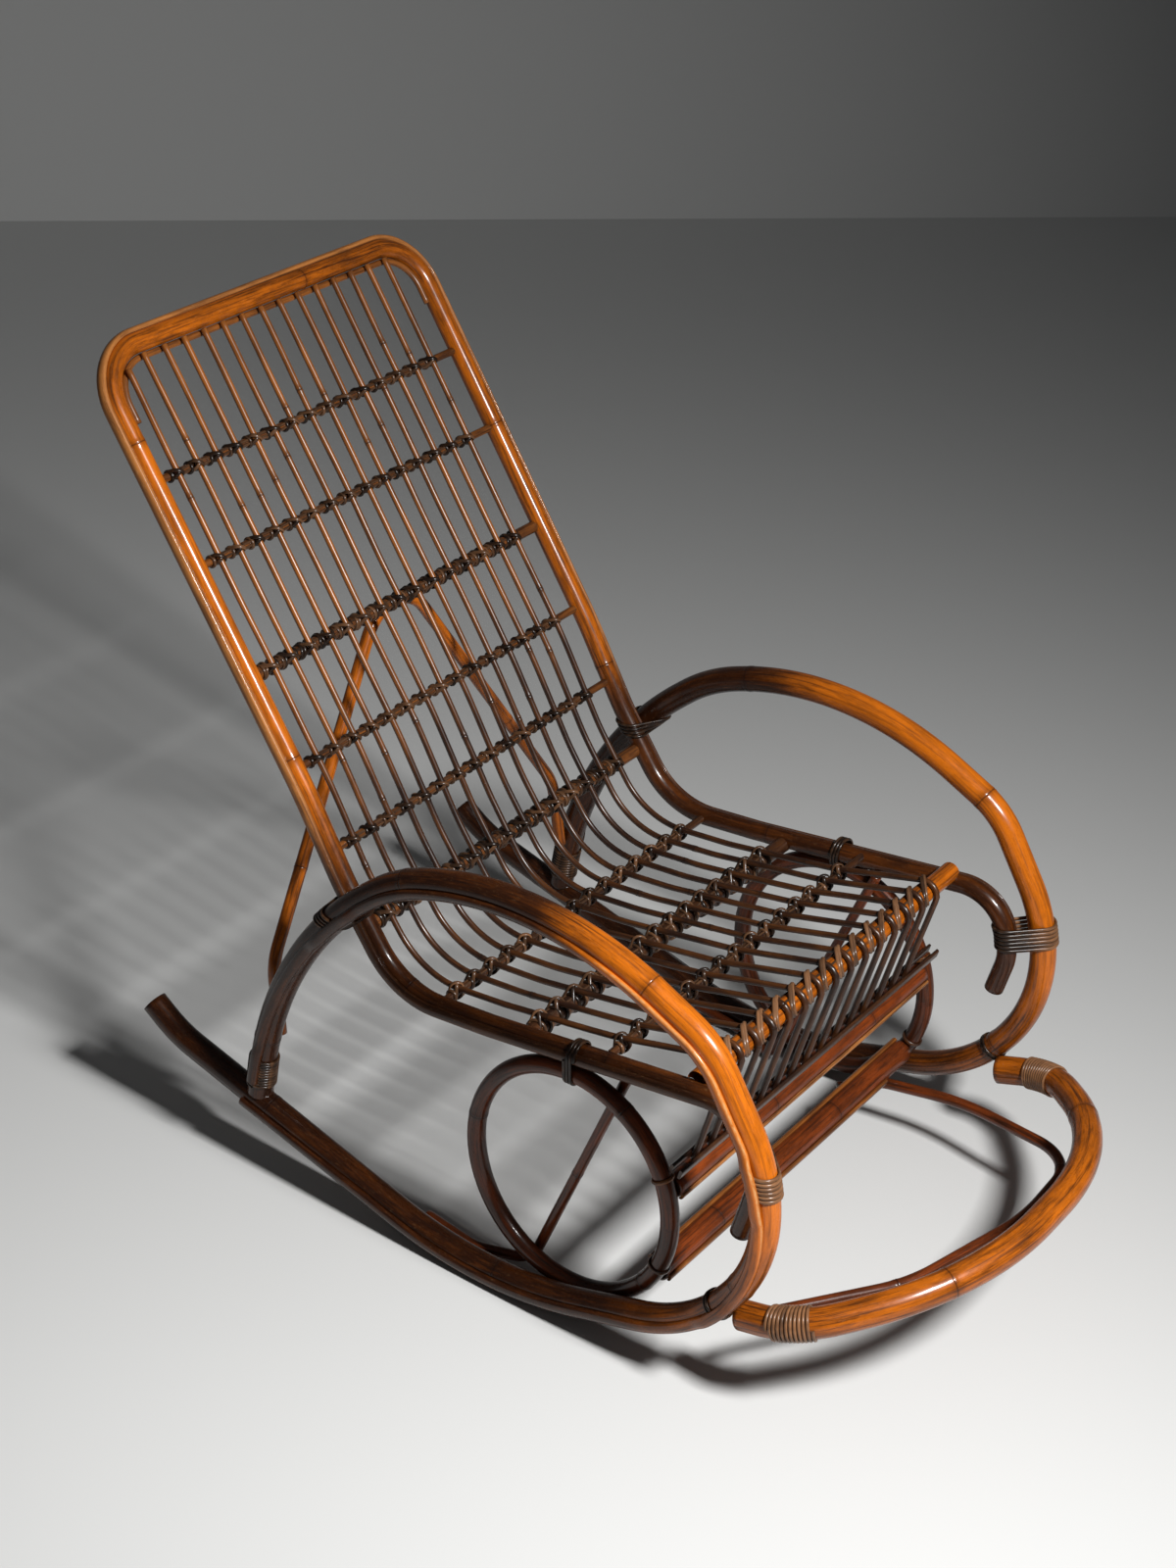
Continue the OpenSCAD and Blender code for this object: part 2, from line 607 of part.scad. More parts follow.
// The oval rings between the seat sides and the runners
ring_count = 24;
ring_line = [for (k = [0:ring_count - 1])
    let (a = 360 * k / ring_count)
    [ring_x, ring_y - ring_depth / 2 * cos(a), ring_middle_z - ring_half * sin(a)]];
module oval_ring(side) {
    n = ring_count;
    t = [for (i = [0:n - 1]) unit(ring_line[(i + 1) % n] - ring_line[(i + n - 1) % n])];
    across = [1, 0, 0];
    color(brown)
        placed()
        mirror([side < 0 ? 1 : 0, 0, 0])
        skin(
            [for (i = [0:n - 1]) [for (q = round_outline(ring_d, cane_sides))
                ring_line[i] + q[0] * across + q[1] * cross(t[i], across)]],
            closed = true);
}
module right_oval_ring() { oval_ring(-1); }
module left_oval_ring() { oval_ring(1); }

// The rear brace: from the inner side of one rear leg up behind the middle rung and down to the other
brace_x = side_x - side_d / 2 - rear_brace_d / 2 - seat_gap;
leg_at_foot = passes(rear_leg, 2, brace_foot_z)[0][0];
middle_rung = behind(back_at(3), mid_rung_d);
brace_apart = (mid_rung_d + rear_brace_d) / 2 + seat_gap;
brace_apex = middle_rung + brace_apart * [0, sin(back_slope), -cos(back_slope)];
module rear_brace() {
    knee = [least(brace_knee[0], brace_x - 2), brace_knee[1], brace_knee[2], brace_knee[3]];
    rise = brace_apex[2] - knee[2];
    // The corner over the apex stands above it by what its bend cuts off
    corner_z = knee[2] + brace_corner(knee[0], rise, brace_bend);
    corner_y = knee[1] + (brace_apex[1] - knee[1]) * (corner_z - knee[2]) / rise;
    half = [[-brace_x, leg_at_foot[1], brace_foot_z], [-knee[0], knee[1], knee[2], knee[3]]];
    color(brown)
        placed()
        pole(
            route(concat(
                half, [[0, corner_y, corner_z, brace_bend]],
                [[knee[0], knee[1], knee[2], knee[3]]], [[brace_x, leg_at_foot[1], brace_foot_z]])),
            rear_brace_d, cane_sides);
}
// Height of the corner over a knee at distance x, so that the bend of radius r tops out at the rise
function brace_corner(x, rise, r, h = 0, n = 0) =
    let (g = n == 0 ? rise + r * 0.7 : h)
    n > 12 ? g : brace_corner(x, rise, r, rise + r * (norm([x, g]) / x - 1), n + 1);

// The bent braces under the seat: from the seat side down inside the ring to the inner side of the runner
seat_brace_in = ring_x - ring_d / 2 - seat_brace_d / 2 - seat_gap - corner_space;
seat_brace_out = side_x - side_d / 2 - seat_brace_d / 2 - seat_gap;
rail_at_brace = passes(half_frame, 1, seat_brace_line[0][0])[0];
brace_aside = max(0, back_x - seat_brace_in - seat_brace_d / 2);
brace_top_z = rail_at_brace[0][2]
    - sqrt(pow(back_d / 2 + seat_gap, 2) - brace_aside * brace_aside)
    - seat_brace_d / 2 * abs(tan(rail_at_brace[1]));
module seat_brace(side) {
    q = seat_brace_line;
    color(brown)
        placed()
        mirror([side < 0 ? 1 : 0, 0, 0])
        pole(
            route([
                [seat_brace_in, q[0][0], brace_top_z], yz(seat_brace_in, q[1]), yz(seat_brace_out, q[2]),
                yz(seat_brace_out, q[3])]),
            seat_brace_d, cane_sides);
}
module right_seat_brace() { seat_brace(-1); }
module left_seat_brace() { seat_brace(1); }

// The footrest: the thick loop and the thinner cane inside it
module footrest_loop() {
    color(brown)
        placed()
        pole(loop_route, loop_d, pole_sides);
}
module footrest_inner_cane() {
    color(brown)
        placed()
        pole(route(inner_cane_line), inner_cane_d, cane_sides);
}

// A coil that follows a bent pole from a distance s along it
function lengths(p) =
    [for (i = 0, s = 0; i < len(p); i = i + 1, s = i < len(p) ? s + norm(p[i] - p[i - 1]) : s) s];
function at_length(p, far, s) =
    let (i = [for (k = [0:len(p) - 2]) if (far[k + 1] >= s) k][0])
    p[i] + (s - far[i]) * unit(p[i + 1] - p[i]);
function wound(corners, start, pitch, turns, r) =
    let (p = route(corners), far = lengths(p), half = 2 * turn_pitch)
    [for (i = [0:turns * turn_points])
        let (
            s = start + pitch * i / turn_points,
            a = 360 * i / turn_points,
            t = unit(at_length(p, far, s + half) - at_length(p, far, s - half)),
            n = square_to([1, 0, 0.1], t))
        at_length(p, far, s) + r / cos(180 / turn_points) * (n * cos(a) + cross(t, n) * sin(a))];

// Bindings of the rear legs' feet
module foot_wraps() {
    p = wound(leg_corners, foot_start, turn_pitch, foot_turns, over_pole(side_d));
    color(tie_brown)
        placed()
        for (side = [0, 1]) mirror([side, 0, 0]) binding("foot wrap", p);
}

// Bindings of the footrest loop. Their turns are wider apart, as they draw together inside its bend.
footrest_wrap_start = 42;
bend_room = 1.12;
module footrest_wraps() {
    r = over_pole(loop_d);
    pitch = turn_pitch * bend_room / (1 - r / loop_line[1][2]);
    p = wound([for (c = loop_line) loop_point(c, 1)], footrest_wrap_start, pitch, footrest_turns, r);
    color(tie_brown)
        placed()
        for (side = [0, 1]) mirror([side, 0, 0]) binding("footrest wrap", p);
}

// Lashings of the curled front ends of the seat to the fronts of the side frames
module front_lashings() {
    seat_curl = route([for (i = [0:3]) back_side[i]]);
    p = pair_coil(2, front_lash_z, front_turns, [side_route, seat_curl],
        [over_pole(side_d) + corner_space, over_pole(back_d) + corner_space]);
    color(tie_brown)
        placed()
        for (side = [0, 1]) mirror([side, 0, 0]) binding("front lashing", p);
}

// Lashings of the back frame to the side frames where they cross
module back_lashings() {
    p = pair_coil(2, crossing_z, back_turns, [rear_leg, half_frame],
        [over_pole(side_d) + 3 * corner_space, over_pole(back_d) + corner_space]);
    color(tie_brown)
        placed()
        for (side = [0, 1]) mirror([side, 0, 0]) binding("back lashing", p);
}

// Bands round the front curls, beside the ends of the footrest loop
module curl_bands() {
    t = curl_band[1];
    n = [1, 0, 0];
    line = round_outline(2 * over_pole(side_d) / cos(180 / turn_points), turn_points);
    p = coil(curl_band[0], n, cross(t, n), t, line, band_turns);
    color(tie_brown)
        placed()
        for (side = [0, 1]) mirror([side, 0, 0]) binding("curl band", p);
}

// Ties of the tops of the rings to the seat sides, round the strip there too
ring_tie_turns = 3;
module ring_ties() {
    ring_top = [for (q = ring_line) if (q[2] > ring_middle_z) q];
    strip_side = (back_strip_t + seat_gap) / 2;
    rail = [for (q = half_frame) q + [strip_side, 0, 0]];
    p = pair_coil(1, ring_y, ring_tie_turns, [ring_top, rail],
        [over_pole(ring_d), over_pole(back_d) + strip_side + 3 * corner_space]);
    color(tie_brown)
        placed()
        for (side = [0, 1]) mirror([side, 0, 0]) binding("ring tie", p);
}

right_side_frame();
left_side_frame();
right_side_strip();
left_side_strip();
back_frame();
back_strip();
top_inner_strip();
rod(1);  // rod_01
rod(2);  // rod_02
rod(3);  // rod_03
rod(4);  // rod_04
rod(5);  // rod_05
rod(6);  // rod_06
rod(7);  // rod_07
rod(8);  // rod_08
rod(9);  // rod_09
rod(10);  // rod_10
rod(11);  // rod_11
rod(12);  // rod_12
rod(13);  // rod_13
rod(14);  // rod_14
rod(15);  // rod_15
back_rung(1);  // back_rung_1
back_rung(2);  // back_rung_2
back_rung(3);  // back_rung_3
back_rung(4);  // back_rung_4
back_rung(5);  // back_rung_5
back_rung(6);  // back_rung_6
seat_rung(1);  // seat_rung_1
seat_rung(2);  // seat_rung_2
seat_rung(3);  // seat_rung_3
seat_rung(4);  // seat_front_roll
back_knots();
seat_knots();
apron_front_strip();
apron_back_strip();
upper_stretcher();
upper_stretcher_strip();
lower_stretcher();
lower_stretcher_strips();
right_oval_ring();
left_oval_ring();
rear_brace();
right_seat_brace();
left_seat_brace();
footrest_loop();
footrest_inner_cane();
foot_wraps();
footrest_wraps();
front_lashings();
back_lashings();
curl_bands();
ring_ties();
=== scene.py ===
import random
from math import acos, atan2, ceil, cos, exp, pi, radians, sin, sqrt, tan

import bpy
from mathutils import Matrix, Vector


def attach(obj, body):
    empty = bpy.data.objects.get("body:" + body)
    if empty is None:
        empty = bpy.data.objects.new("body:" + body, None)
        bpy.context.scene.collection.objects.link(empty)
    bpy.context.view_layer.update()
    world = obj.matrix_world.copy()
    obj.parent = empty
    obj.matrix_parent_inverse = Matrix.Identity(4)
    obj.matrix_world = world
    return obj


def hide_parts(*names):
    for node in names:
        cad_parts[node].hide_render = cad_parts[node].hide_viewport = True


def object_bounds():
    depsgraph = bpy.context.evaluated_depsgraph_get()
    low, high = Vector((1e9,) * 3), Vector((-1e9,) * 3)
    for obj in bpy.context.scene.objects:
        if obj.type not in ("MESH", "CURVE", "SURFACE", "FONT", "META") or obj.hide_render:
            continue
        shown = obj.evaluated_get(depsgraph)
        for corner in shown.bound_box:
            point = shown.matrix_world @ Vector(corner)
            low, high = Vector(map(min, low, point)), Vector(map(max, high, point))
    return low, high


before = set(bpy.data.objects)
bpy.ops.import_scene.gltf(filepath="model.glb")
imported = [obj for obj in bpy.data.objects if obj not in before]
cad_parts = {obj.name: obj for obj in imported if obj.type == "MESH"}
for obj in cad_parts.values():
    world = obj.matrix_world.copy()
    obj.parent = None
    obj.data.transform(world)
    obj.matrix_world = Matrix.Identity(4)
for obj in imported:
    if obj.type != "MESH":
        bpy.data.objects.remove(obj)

start_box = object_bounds()

# The numbers of the chair in millimetres, in the drawing's own frame.
MM = 0.001
SEAT_GAP = 0.3
SIDE_X, SIDE_D, SOLE_DEPTH = 300, 32, 2
SIDE_STRIP_W, SIDE_STRIP_T, STRIP_DROP = 15, 6, 0.6
BACK_D, BACK_TOP, TOP_BEND = 24, 948, 62
BACK_STRIP_W, BACK_STRIP_T, BACK_STRIP_LOW = 14, 6, 312
INNER_STRIP_D, INNER_LEG = 8, 66
ROD_D, ROD_START_SPACE, ROD_END_SPACE, ROD_COUNT, ROD_BELOW = 7.5, 29.4, 60.4, 15, 5
BACK_RUNG_D, THICK_BACK = [10, 10, 15, 10, 10, 18], (2, 5)
SEAT_RUNG_D = [10, 20, 10, 24]
LOW_RUNG_Z, BACK_RUNG_PART = 384, [0.795, 0.645, 0.452, 0.287, 0.136, 0]
SEAT_RUNG_Y = [475, 358, 247]
APRON_W, APRON_T, APRON_Z, APRON_LEAN = 12, 4, 248, 3.0
RING_D, RING_DEPTH, RING_Y, RING_LOW = 22, 268, 281, 14
UPPER_Z, UPPER_D, LOWER_Z, LOWER_D = 216, 26, 94, 30
THIN_W, THIN_T = 9, 4
REAR_BRACE_D, SEAT_BRACE_D = 16, 13
LOOP_D, INNER_CANE_D = 35, 14
THIN_CUT, THIN_STEP = 2, 24
TIE_D, TURN_PITCH = 2.8, 4.2
BACK_SLOPE = radians(56)
SIDE_LINE = [
    [895, 155], [855, 126, 152], [372, -10, 470], [96, 79, 215], [-30, 255, 210], [90, 452, 110],
    [304, 557, 387], [503, 487, 230], [690, 326, 514], [724, 95]]
SEAT_LINE = [
    [62, 203], [42, 285, 60], [56, 368, 60], [401, 322, 299], [530, 310, 99], [611, 423, 298],
    [671, 526, 590]]
SEAT_FRONT = [[250, 347, 300], [106, 385]]
BRACE_FOOT_Z, BRACE_KNEE, BRACE_BEND = 178, [272, 722, 270, 80], 62
SEAT_BRACE_LINE = [[220, 342], [346, 8, 32], [412, 8, 60], [484, 18]]
LOOP_LINE = [[283, 41.4], [288, -28, 110], [150, -168, 300]]
LOOP_SLOPE, LOOP_ZERO_Z = 0.31, 124
INNER_CANE_LINE = [
    [-264.5, 28, 106.5], [-120, -70, 104, 220], [60, -116, 104, 260], [198, -108, 98, 70],
    [230, 60, 84, 300], [218, 170, 71, 40], [176, 203, 71]]
FRONT_LASH_Z, CURL_BAND_Z, CROSSING_Z, LEFT_END_UP = 313, 128, 402, 0.4

# Numbers of the visual model alone. Lengths are in millimetres, and a tone goes from 0, which
# is lit cane, to 1, which is nearly black. Where a tone darkens a piece low down, under the seat
# or on a side turned from the lamp, it is partly the cane's own darker colour and partly painted
# shade.
BOX_INSET = 0.0001
FINE_CUT, FINE_STEP = 0.02, 3
KNUCKLE_MARKS, LEAST_STEP = (-5, -2.6, -1.4, -0.6, 0, 0.6, 1.4, 2.6, 5), 0.3
KNUCKLE_REACH, WAY_REACH = 12, 1.5
END_TONE, END_SHRINK, END_RISE, END_LINE = 0.9, 0.8, 0.7, 0.4
STRIP_STEP, STRIP_REAR_Y, STRIP_LEG_Z, STRIP_SUNK = 6, 738, 128, 0.2
FOOT_START, FOOT_TURNS, FRONT_TURNS, BACK_TURNS, BAND_TURNS, RING_TURNS = 11, 10, 7, 4, 2, 3
LOOP_START, LOOP_TURNS, LOOP_SPAN = 42, 11, 8.96
WOUND_STEPS, PAIR_STEPS = 30, 44
LIFT_MOST, LIFT_BEYOND, LIFT_RISE = 3.0, 11, 20
# Where the darker cane and the painted shade begin towards the rear of each side frame
DARK_AND_SHADED_REAR = {"right": 290, "left": 400}
LAST_ROD_KNUCKLE, LOWER_STRIP_SHORT, RING_TOP_PART = 1560, 60, 20
KNOT_TURN, KNOT_SPACE, KNOT_LIFT = radians(35), 0.3, 1.3
COLLAR_SPACE, COLLAR_PITCH, COLLAR_W, COLLAR_T, COLLAR_LESS = 2.9, 4.2, 4.5, 2.8, 0.9
# Width and thickness of each flat binding cane
KNOT_BAND, WRAP_BAND, LASH_BAND = (4.6, 1.8), (3.9, 2.5), (4.5, 2.6)
CURL_BAND, RING_BAND, RING_TURN_BAND = (4.0, 2.2), (4.0, 2.6), (5, 2.2)


# Bent poles from their corners c, each [x, y, z, bend radius]. A route p is a list of points,
# and far holds the length of the route up to each of them.
def vec(c):
    return Vector(c[:3])


def yz(x, c):
    return [x, c[0], c[1], c[2] if len(c) > 2 else 0]


def heading(c, i):
    return (vec(c[i + 1]) - vec(c[i])).normalized()


def bend(c, i):
    # Direction before the bend, direction to its centre, radius, angle, start and centre
    v, w, r = heading(c, i - 1), heading(c, i), c[i][3]
    a = acos(min(1, v.dot(w)))
    n = (w - v * v.dot(w)).normalized()
    start = vec(c[i]) - v * r * tan(a / 2)
    return v, n, r, a, start, start + n * r


def route(c, cut, step):
    # Straight steps round each bend, at most cut off the arc and at most step degrees long
    points = [vec(c[0])]
    for i in range(1, len(c) - 1):
        v, n, r, a, _, centre = bend(c, i)
        k = max(1, ceil(a / min(radians(step), 2 * acos(1 - cut / r)) - 1e-9))
        points += [centre + (v * sin(a * j / k) - n * cos(a * j / k)) * r for j in range(k + 1)]
    return points + [vec(c[-1])]


def smooth(c):
    return route(c, FINE_CUT, FINE_STEP)


def lengths(p):
    far = [0.0]
    for a, b in zip(p, p[1:]):
        far.append(far[-1] + (b - a).length)
    return far


def at_length(p, far, s):
    low, high = 0, len(p) - 2
    while low < high:
        middle = (low + high) // 2
        if far[middle + 1] >= s:
            high = middle
        else:
            low = middle + 1
    d = p[low + 1] - p[low]
    return p[low] + d * ((s - far[low]) / max(1e-9, far[low + 1] - far[low]))


def ahead(p, i):
    return (p[min(i + 1, len(p) - 1)] - p[max(i - 1, 0)]).normalized()


def square_to(v, t):
    return (v - t * v.dot(t)).normalized()


def passes(p, axis, value):
    # Places where the route has this value on the axis, with its slope seen from the side
    found = []
    for a, b in zip(p, p[1:]):
        if (a[axis] - value) * (b[axis] - value) <= 0 and a[axis] != b[axis]:
            d = b - a
            slope = atan2(d.z, d.y) if d.y > 0 else atan2(-d.z, -d.y)
            found.append((a + d * ((value - a[axis]) / d[axis]), slope))
    return found


def even(p, step):
    far = lengths(p)
    n = ceil(far[-1] / step)
    return [at_length(p, far, far[-1] * i / n) for i in range(n + 1)]


def spread(low, high, n):
    return [low + (high - low) * k / n for k in range(n + 1)]


def carried(ways, out):
    # An outward direction carried along a route without twist
    outs = []
    for way in ways:
        out = square_to(out, way)
        outs.append(out)
    return outs


def part_of(v):
    return max(0.0, min(1.0, v))


def ease(v, low, high):
    f = part_of((v - low) / (high - low))
    return f * f * (3 - 2 * f)


# The main routes
back_x = SIDE_X - SIDE_D / 2 - BACK_STRIP_T - BACK_D / 2 - 2 * SEAT_GAP
ring_x = SIDE_X - SIDE_D / 2 - RING_D / 2 - SEAT_GAP
side_corners = [yz(SIDE_X, c) for c in SIDE_LINE]
bend_z = bend(side_corners, 2)[5].z - side_corners[2][3]
floor_z = bend_z - SIDE_D / 2 + SOLE_DEPTH
back_top_z = bend_z + BACK_TOP
back_top_y = SEAT_LINE[-1][0] + (back_top_z - SEAT_LINE[-1][1]) / tan(BACK_SLOPE)
back_side = [yz(back_x, c) for c in SEAT_LINE] + [[back_x, back_top_y, back_top_z, TOP_BEND]]
left_end = [a + LEFT_END_UP * (b - a) for a, b in zip(back_side[0][:3], back_side[1][:3])]
back_corners = [[-c[0]] + c[1:] for c in back_side] + back_side[:0:-1] + [left_end + [0]]
side_route = smooth(side_corners)
back_route = smooth(back_corners)
half_frame = [q for q in back_route if q.x > 0]
loop_corners = [
    [-c[0], c[1], LOOP_ZERO_Z - LOOP_SLOPE * c[1], c[2] if len(c) > 2 else 0] for c in LOOP_LINE]
loop_corners += [[-c[0]] + c[1:] for c in loop_corners[::-1]]
front_y = LOOP_LINE[2][1] - LOOP_D / 2
rear_y = (
    back_top_y + (BACK_D / 2 + SEAT_GAP + BACK_STRIP_T) * cos(BACK_SLOPE)
    + BACK_STRIP_W * 0.2 * sin(BACK_SLOPE))
origin = Vector((0, (front_y + rear_y) / 2, floor_z))

seat_above_ring = passes(half_frame, 1, RING_Y)[0][0].z
ring_low_z = bend_z + RING_LOW
ring_high_z = seat_above_ring - sqrt(
    ((BACK_D + RING_D) / 2 + SEAT_GAP) ** 2 - (ring_x - back_x) ** 2)
ring_middle_z = (ring_low_z + ring_high_z) / 2
ring_half = (ring_high_z - ring_low_z) / 2


def ring_front(z):
    return RING_Y - RING_DEPTH / 2 * sqrt(1 - ((z - ring_middle_z) / ring_half) ** 2)


# The line that the rods follow, seen from the side
rod_off = BACK_RUNG_D[0] / 2 + ROD_D / 2 + SEAT_GAP
along_back = Vector((0, cos(BACK_SLOPE), sin(BACK_SLOPE)))
out_of_back = Vector((0, -sin(BACK_SLOPE), cos(BACK_SLOPE)))
back_top_point = Vector((0, back_top_y, back_top_z))
rod_top_space = SEAT_GAP + sqrt(
    ((BACK_D + ROD_D) / 2 + SEAT_GAP) ** 2 - min(rod_off, BACK_D / 2) ** 2)
roll_bend = SEAT_RUNG_D[3] / 2 + ROD_D / 2 + SEAT_GAP
rod_end_y = ring_front(APRON_Z) - RING_D / 2 - 2 * SEAT_GAP - APRON_T - ROD_D / 2 - APRON_LEAN


def rod_corners(x):
    f = max(0, abs(x) + ROD_D / 2 - back_x + TOP_BEND)
    drop = TOP_BEND - sqrt(TOP_BEND * TOP_BEND - f * f)
    top = back_top_point - along_back * (rod_top_space + drop) + out_of_back * rod_off
    line = [[top.y, top.z]]
    frame_side = [[back_top_y, back_top_z]] + SEAT_LINE[6:2:-1] + [SEAT_FRONT[0]]
    for i in range(1, 5):
        a, b, c = [Vector(q[:2]) for q in frame_side[i - 1:i + 2]]
        d, e = (a - b).normalized(), (b - c).normalized()
        m, n = Vector((-d.y, d.x)), Vector((-e.y, e.x))
        moved = b + (m + n) * (rod_off / (1 + m.dot(n)))
        line.append([moved.x, moved.y, frame_side[i][2]])
    line.append([SEAT_FRONT[0][0], SEAT_FRONT[0][1] + rod_off, SEAT_FRONT[0][2]])
    line.append([SEAT_FRONT[1][0], SEAT_FRONT[1][1] + rod_off, roll_bend])
    line.append([rod_end_y, APRON_Z - ROD_BELOW])
    return [yz(x, c) for c in line]


def rod_x(i):
    pitch = (2 * back_x - ROD_START_SPACE - ROD_END_SPACE) / (ROD_COUNT - 1)
    return ROD_START_SPACE - back_x + (i - 1) * pitch


middle_rod = rod_corners(0)
rod_route = route(middle_rod, THIN_CUT, THIN_STEP)


def behind(at, d):
    # The middle of a cross piece that lies against the rods there
    return at[0] + Vector((0, sin(at[1]), -cos(at[1]))) * (ROD_D / 2 + SEAT_GAP + d / 2)


back_at = [
    passes(rod_route, 2, LOW_RUNG_Z + f * (back_top_z - LOW_RUNG_Z))[0] for f in BACK_RUNG_PART]
roll_way = heading(middle_rod, 5)
seat_at = [passes(rod_route, 1, y)[0] for y in SEAT_RUNG_Y]
seat_at.append((bend(middle_rod, 6)[4], atan2(roll_way.z, roll_way.y) - pi))


# Meshes are gathered from rings of points. Each point keeps its place in the grain, its tone,
# and how near it is to a knuckle of the cane. Points are given on the chair's left, and a side
# of -1 mirrors them to its right.
class Shape:
    def __init__(self, mirrored=False):
        self.verts, self.faces, self.grain, self.tone, self.knuckle = [], [], [], [], []
        self.side = -1 if mirrored else 1

    def add(self, point, grain, tone, knuckle):
        # Nothing passes the box of the solids, and the lowest points rest on the floor
        q = (Vector((point.x * self.side, point.y, point.z)) - origin) * MM
        low, high = start_box
        inset = (BOX_INSET, BOX_INSET, 0)
        self.verts.append([
            min(max(q[k], low[k] + inset[k]), high[k] - BOX_INSET) for k in range(3)])
        self.grain.append(grain)
        self.tone.append(tone)
        self.knuckle.append(knuckle)
        return len(self.verts) - 1

    def place(self, k):
        q = Vector(self.verts[k]) / MM + origin
        q.x *= self.side
        return q

    def add_copy(self, k):
        for column in (self.verts, self.grain, self.tone, self.knuckle):
            column.append(column[k])
        return len(self.verts) - 1

    def face(self, ids):
        self.faces.append(ids[::-1] if self.side < 0 else ids)

    def walls(self, rings, closed=False):
        n, s = len(rings), len(rings[0])
        for i in range(n if closed else n - 1):
            a, b = rings[i], rings[(i + 1) % n]
            for k in range(s):
                self.face([a[k], a[(k + 1) % s], b[(k + 1) % s], b[k]])

    def cap(self, ring, middle, grain, out):
        # A slightly rounded, dark end
        inner = []
        for k in ring:
            q = middle + (self.place(k) - middle) * END_SHRINK + out * END_RISE
            inner.append(self.add(q, self.grain[k], END_TONE, END_LINE))
        tip = self.add(middle + out * END_RISE, grain, END_TONE, END_LINE)
        n = len(ring)
        for k in range(n):
            self.face([ring[k], ring[(k + 1) % n], inner[(k + 1) % n], inner[k]])
            self.face([inner[k], inner[(k + 1) % n], tip])

    def make(self, name, material, node):
        mesh = bpy.data.meshes.new(name)
        mesh.from_pydata(self.verts, [], self.faces)
        mesh.attributes.new("grain", "FLOAT_VECTOR", "POINT").data.foreach_set(
            "vector", [v for g in self.grain for v in g])
        mesh.attributes.new("tone", "FLOAT", "POINT").data.foreach_set("value", self.tone)
        mesh.attributes.new("knuckle", "FLOAT", "POINT").data.foreach_set("value", self.knuckle)
        mesh.polygons.foreach_set("use_smooth", [True] * len(mesh.polygons))
        mesh.validate()
        mesh.materials.append(material)
        piece = bpy.data.objects.new(name, mesh)
        bpy.context.scene.collection.objects.link(piece)
        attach(piece, "root")
        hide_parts(node)


def stations(total, step, knuckles):
    # Even places along a pole, closer together at each knuckle
    n = ceil(total / step)
    marks = [total * i / n for i in range(n + 1)]
    for k in knuckles:
        marks += [k + d for d in KNUCKLE_MARKS if 0 < k + d < total]
    marks.sort()
    kept = [marks[0]]
    for m in marks[1:]:
        if m - kept[-1] > LEAST_STEP:
            kept.append(m)
    kept[-1] = total
    return kept


def ridge(s, knuckles):
    # A knuckle is a low swelling with a fine groove in it. Gives its height over the pole and
    # how dark it is: a thin line with a faint shade on both sides.
    up, dark = 0.0, 0.0
    for k in knuckles:
        d = abs(s - k)
        if d < KNUCKLE_REACH:
            up = max(up, 0.55 * exp(-(d / 3.2) ** 2) - 0.5 * exp(-(d / 0.7) ** 2))
            dark = max(dark, exp(-(d / 1.1) ** 2), 0.45 * exp(-(d / 6) ** 2))
    return up, dark


def ways_at(p, far, marks, closed):
    ways = []
    for s in marks:
        a, b = s - WAY_REACH, s + WAY_REACH
        if closed:
            a, b = a % far[-1], b % far[-1]
        else:
            a, b = max(0, a), min(far[-1], b)
        ways.append((at_length(p, far, b) - at_length(p, far, a)).normalized())
    return ways


def grain_shift(chance):
    return Vector([chance.uniform(-3, 3) for _ in range(3)])


# A round pole along a route. A trim moves the points of its ends, and a sway moves its middle.
def tube(shape, p, d, sides, side, knuckles, tone, seed, step=6, closed=False, wander=0.35,
         trim=None, caps=True, sway=None):
    chance = random.Random(seed)
    p = p + [p[0]] if closed else p
    far = lengths(p)
    marks = stations(far[-1], step, knuckles)
    marks = marks[:-1] if closed else marks
    lobes = [(chance.uniform(0, 2 * pi), chance.uniform(0.004, 0.02), n) for n in (2, 3, 5)]
    shift = grain_shift(chance)
    points = [at_length(p, far, s) for s in marks]
    way = ways_at(p, far, marks, closed)
    across = carried(way, Vector(side))
    rings, twist = [], 0.0
    if closed:
        back = square_to(across[-1], way[0])
        twist = atan2(way[0].dot(back.cross(across[0])), back.dot(across[0]))
    for i, s in enumerate(marks):
        q, t = points[i], way[i]
        turn = twist * s / far[-1]
        n = across[i] * cos(turn) + t.cross(across[i]) * sin(turn)
        b = t.cross(n)
        up, dark = ridge(s, knuckles)
        here = tone(q) if callable(tone) else tone
        if sway:
            q = q + sway(s)
        end = (i == len(marks) - 1) - (i == 0)
        ring = []
        for k in range(sides):
            a = 2 * pi * k / sides
            wave = sum(cos(j * a + f + s * g) / j for f, g, j in lobes)
            r = d / 2 + up - wander * (0.5 + 0.3 * wave)
            v = q + (n * cos(a) + b * sin(a)) * r
            if trim:
                v = trim(v, end)
            g = shift + Vector((d / 2 * cos(a), d / 2 * sin(a), s)) * MM
            ring.append(shape.add(v, g, here, dark))
        rings.append(ring)
    shape.walls(rings, closed)
    if caps and not closed:
        shape.cap(rings[0][::-1], points[0], shift, -way[0])
        middle = sum((shape.place(k) for k in rings[-1]), Vector()) / sides
        shape.cap(rings[-1], middle, shift, way[-1])


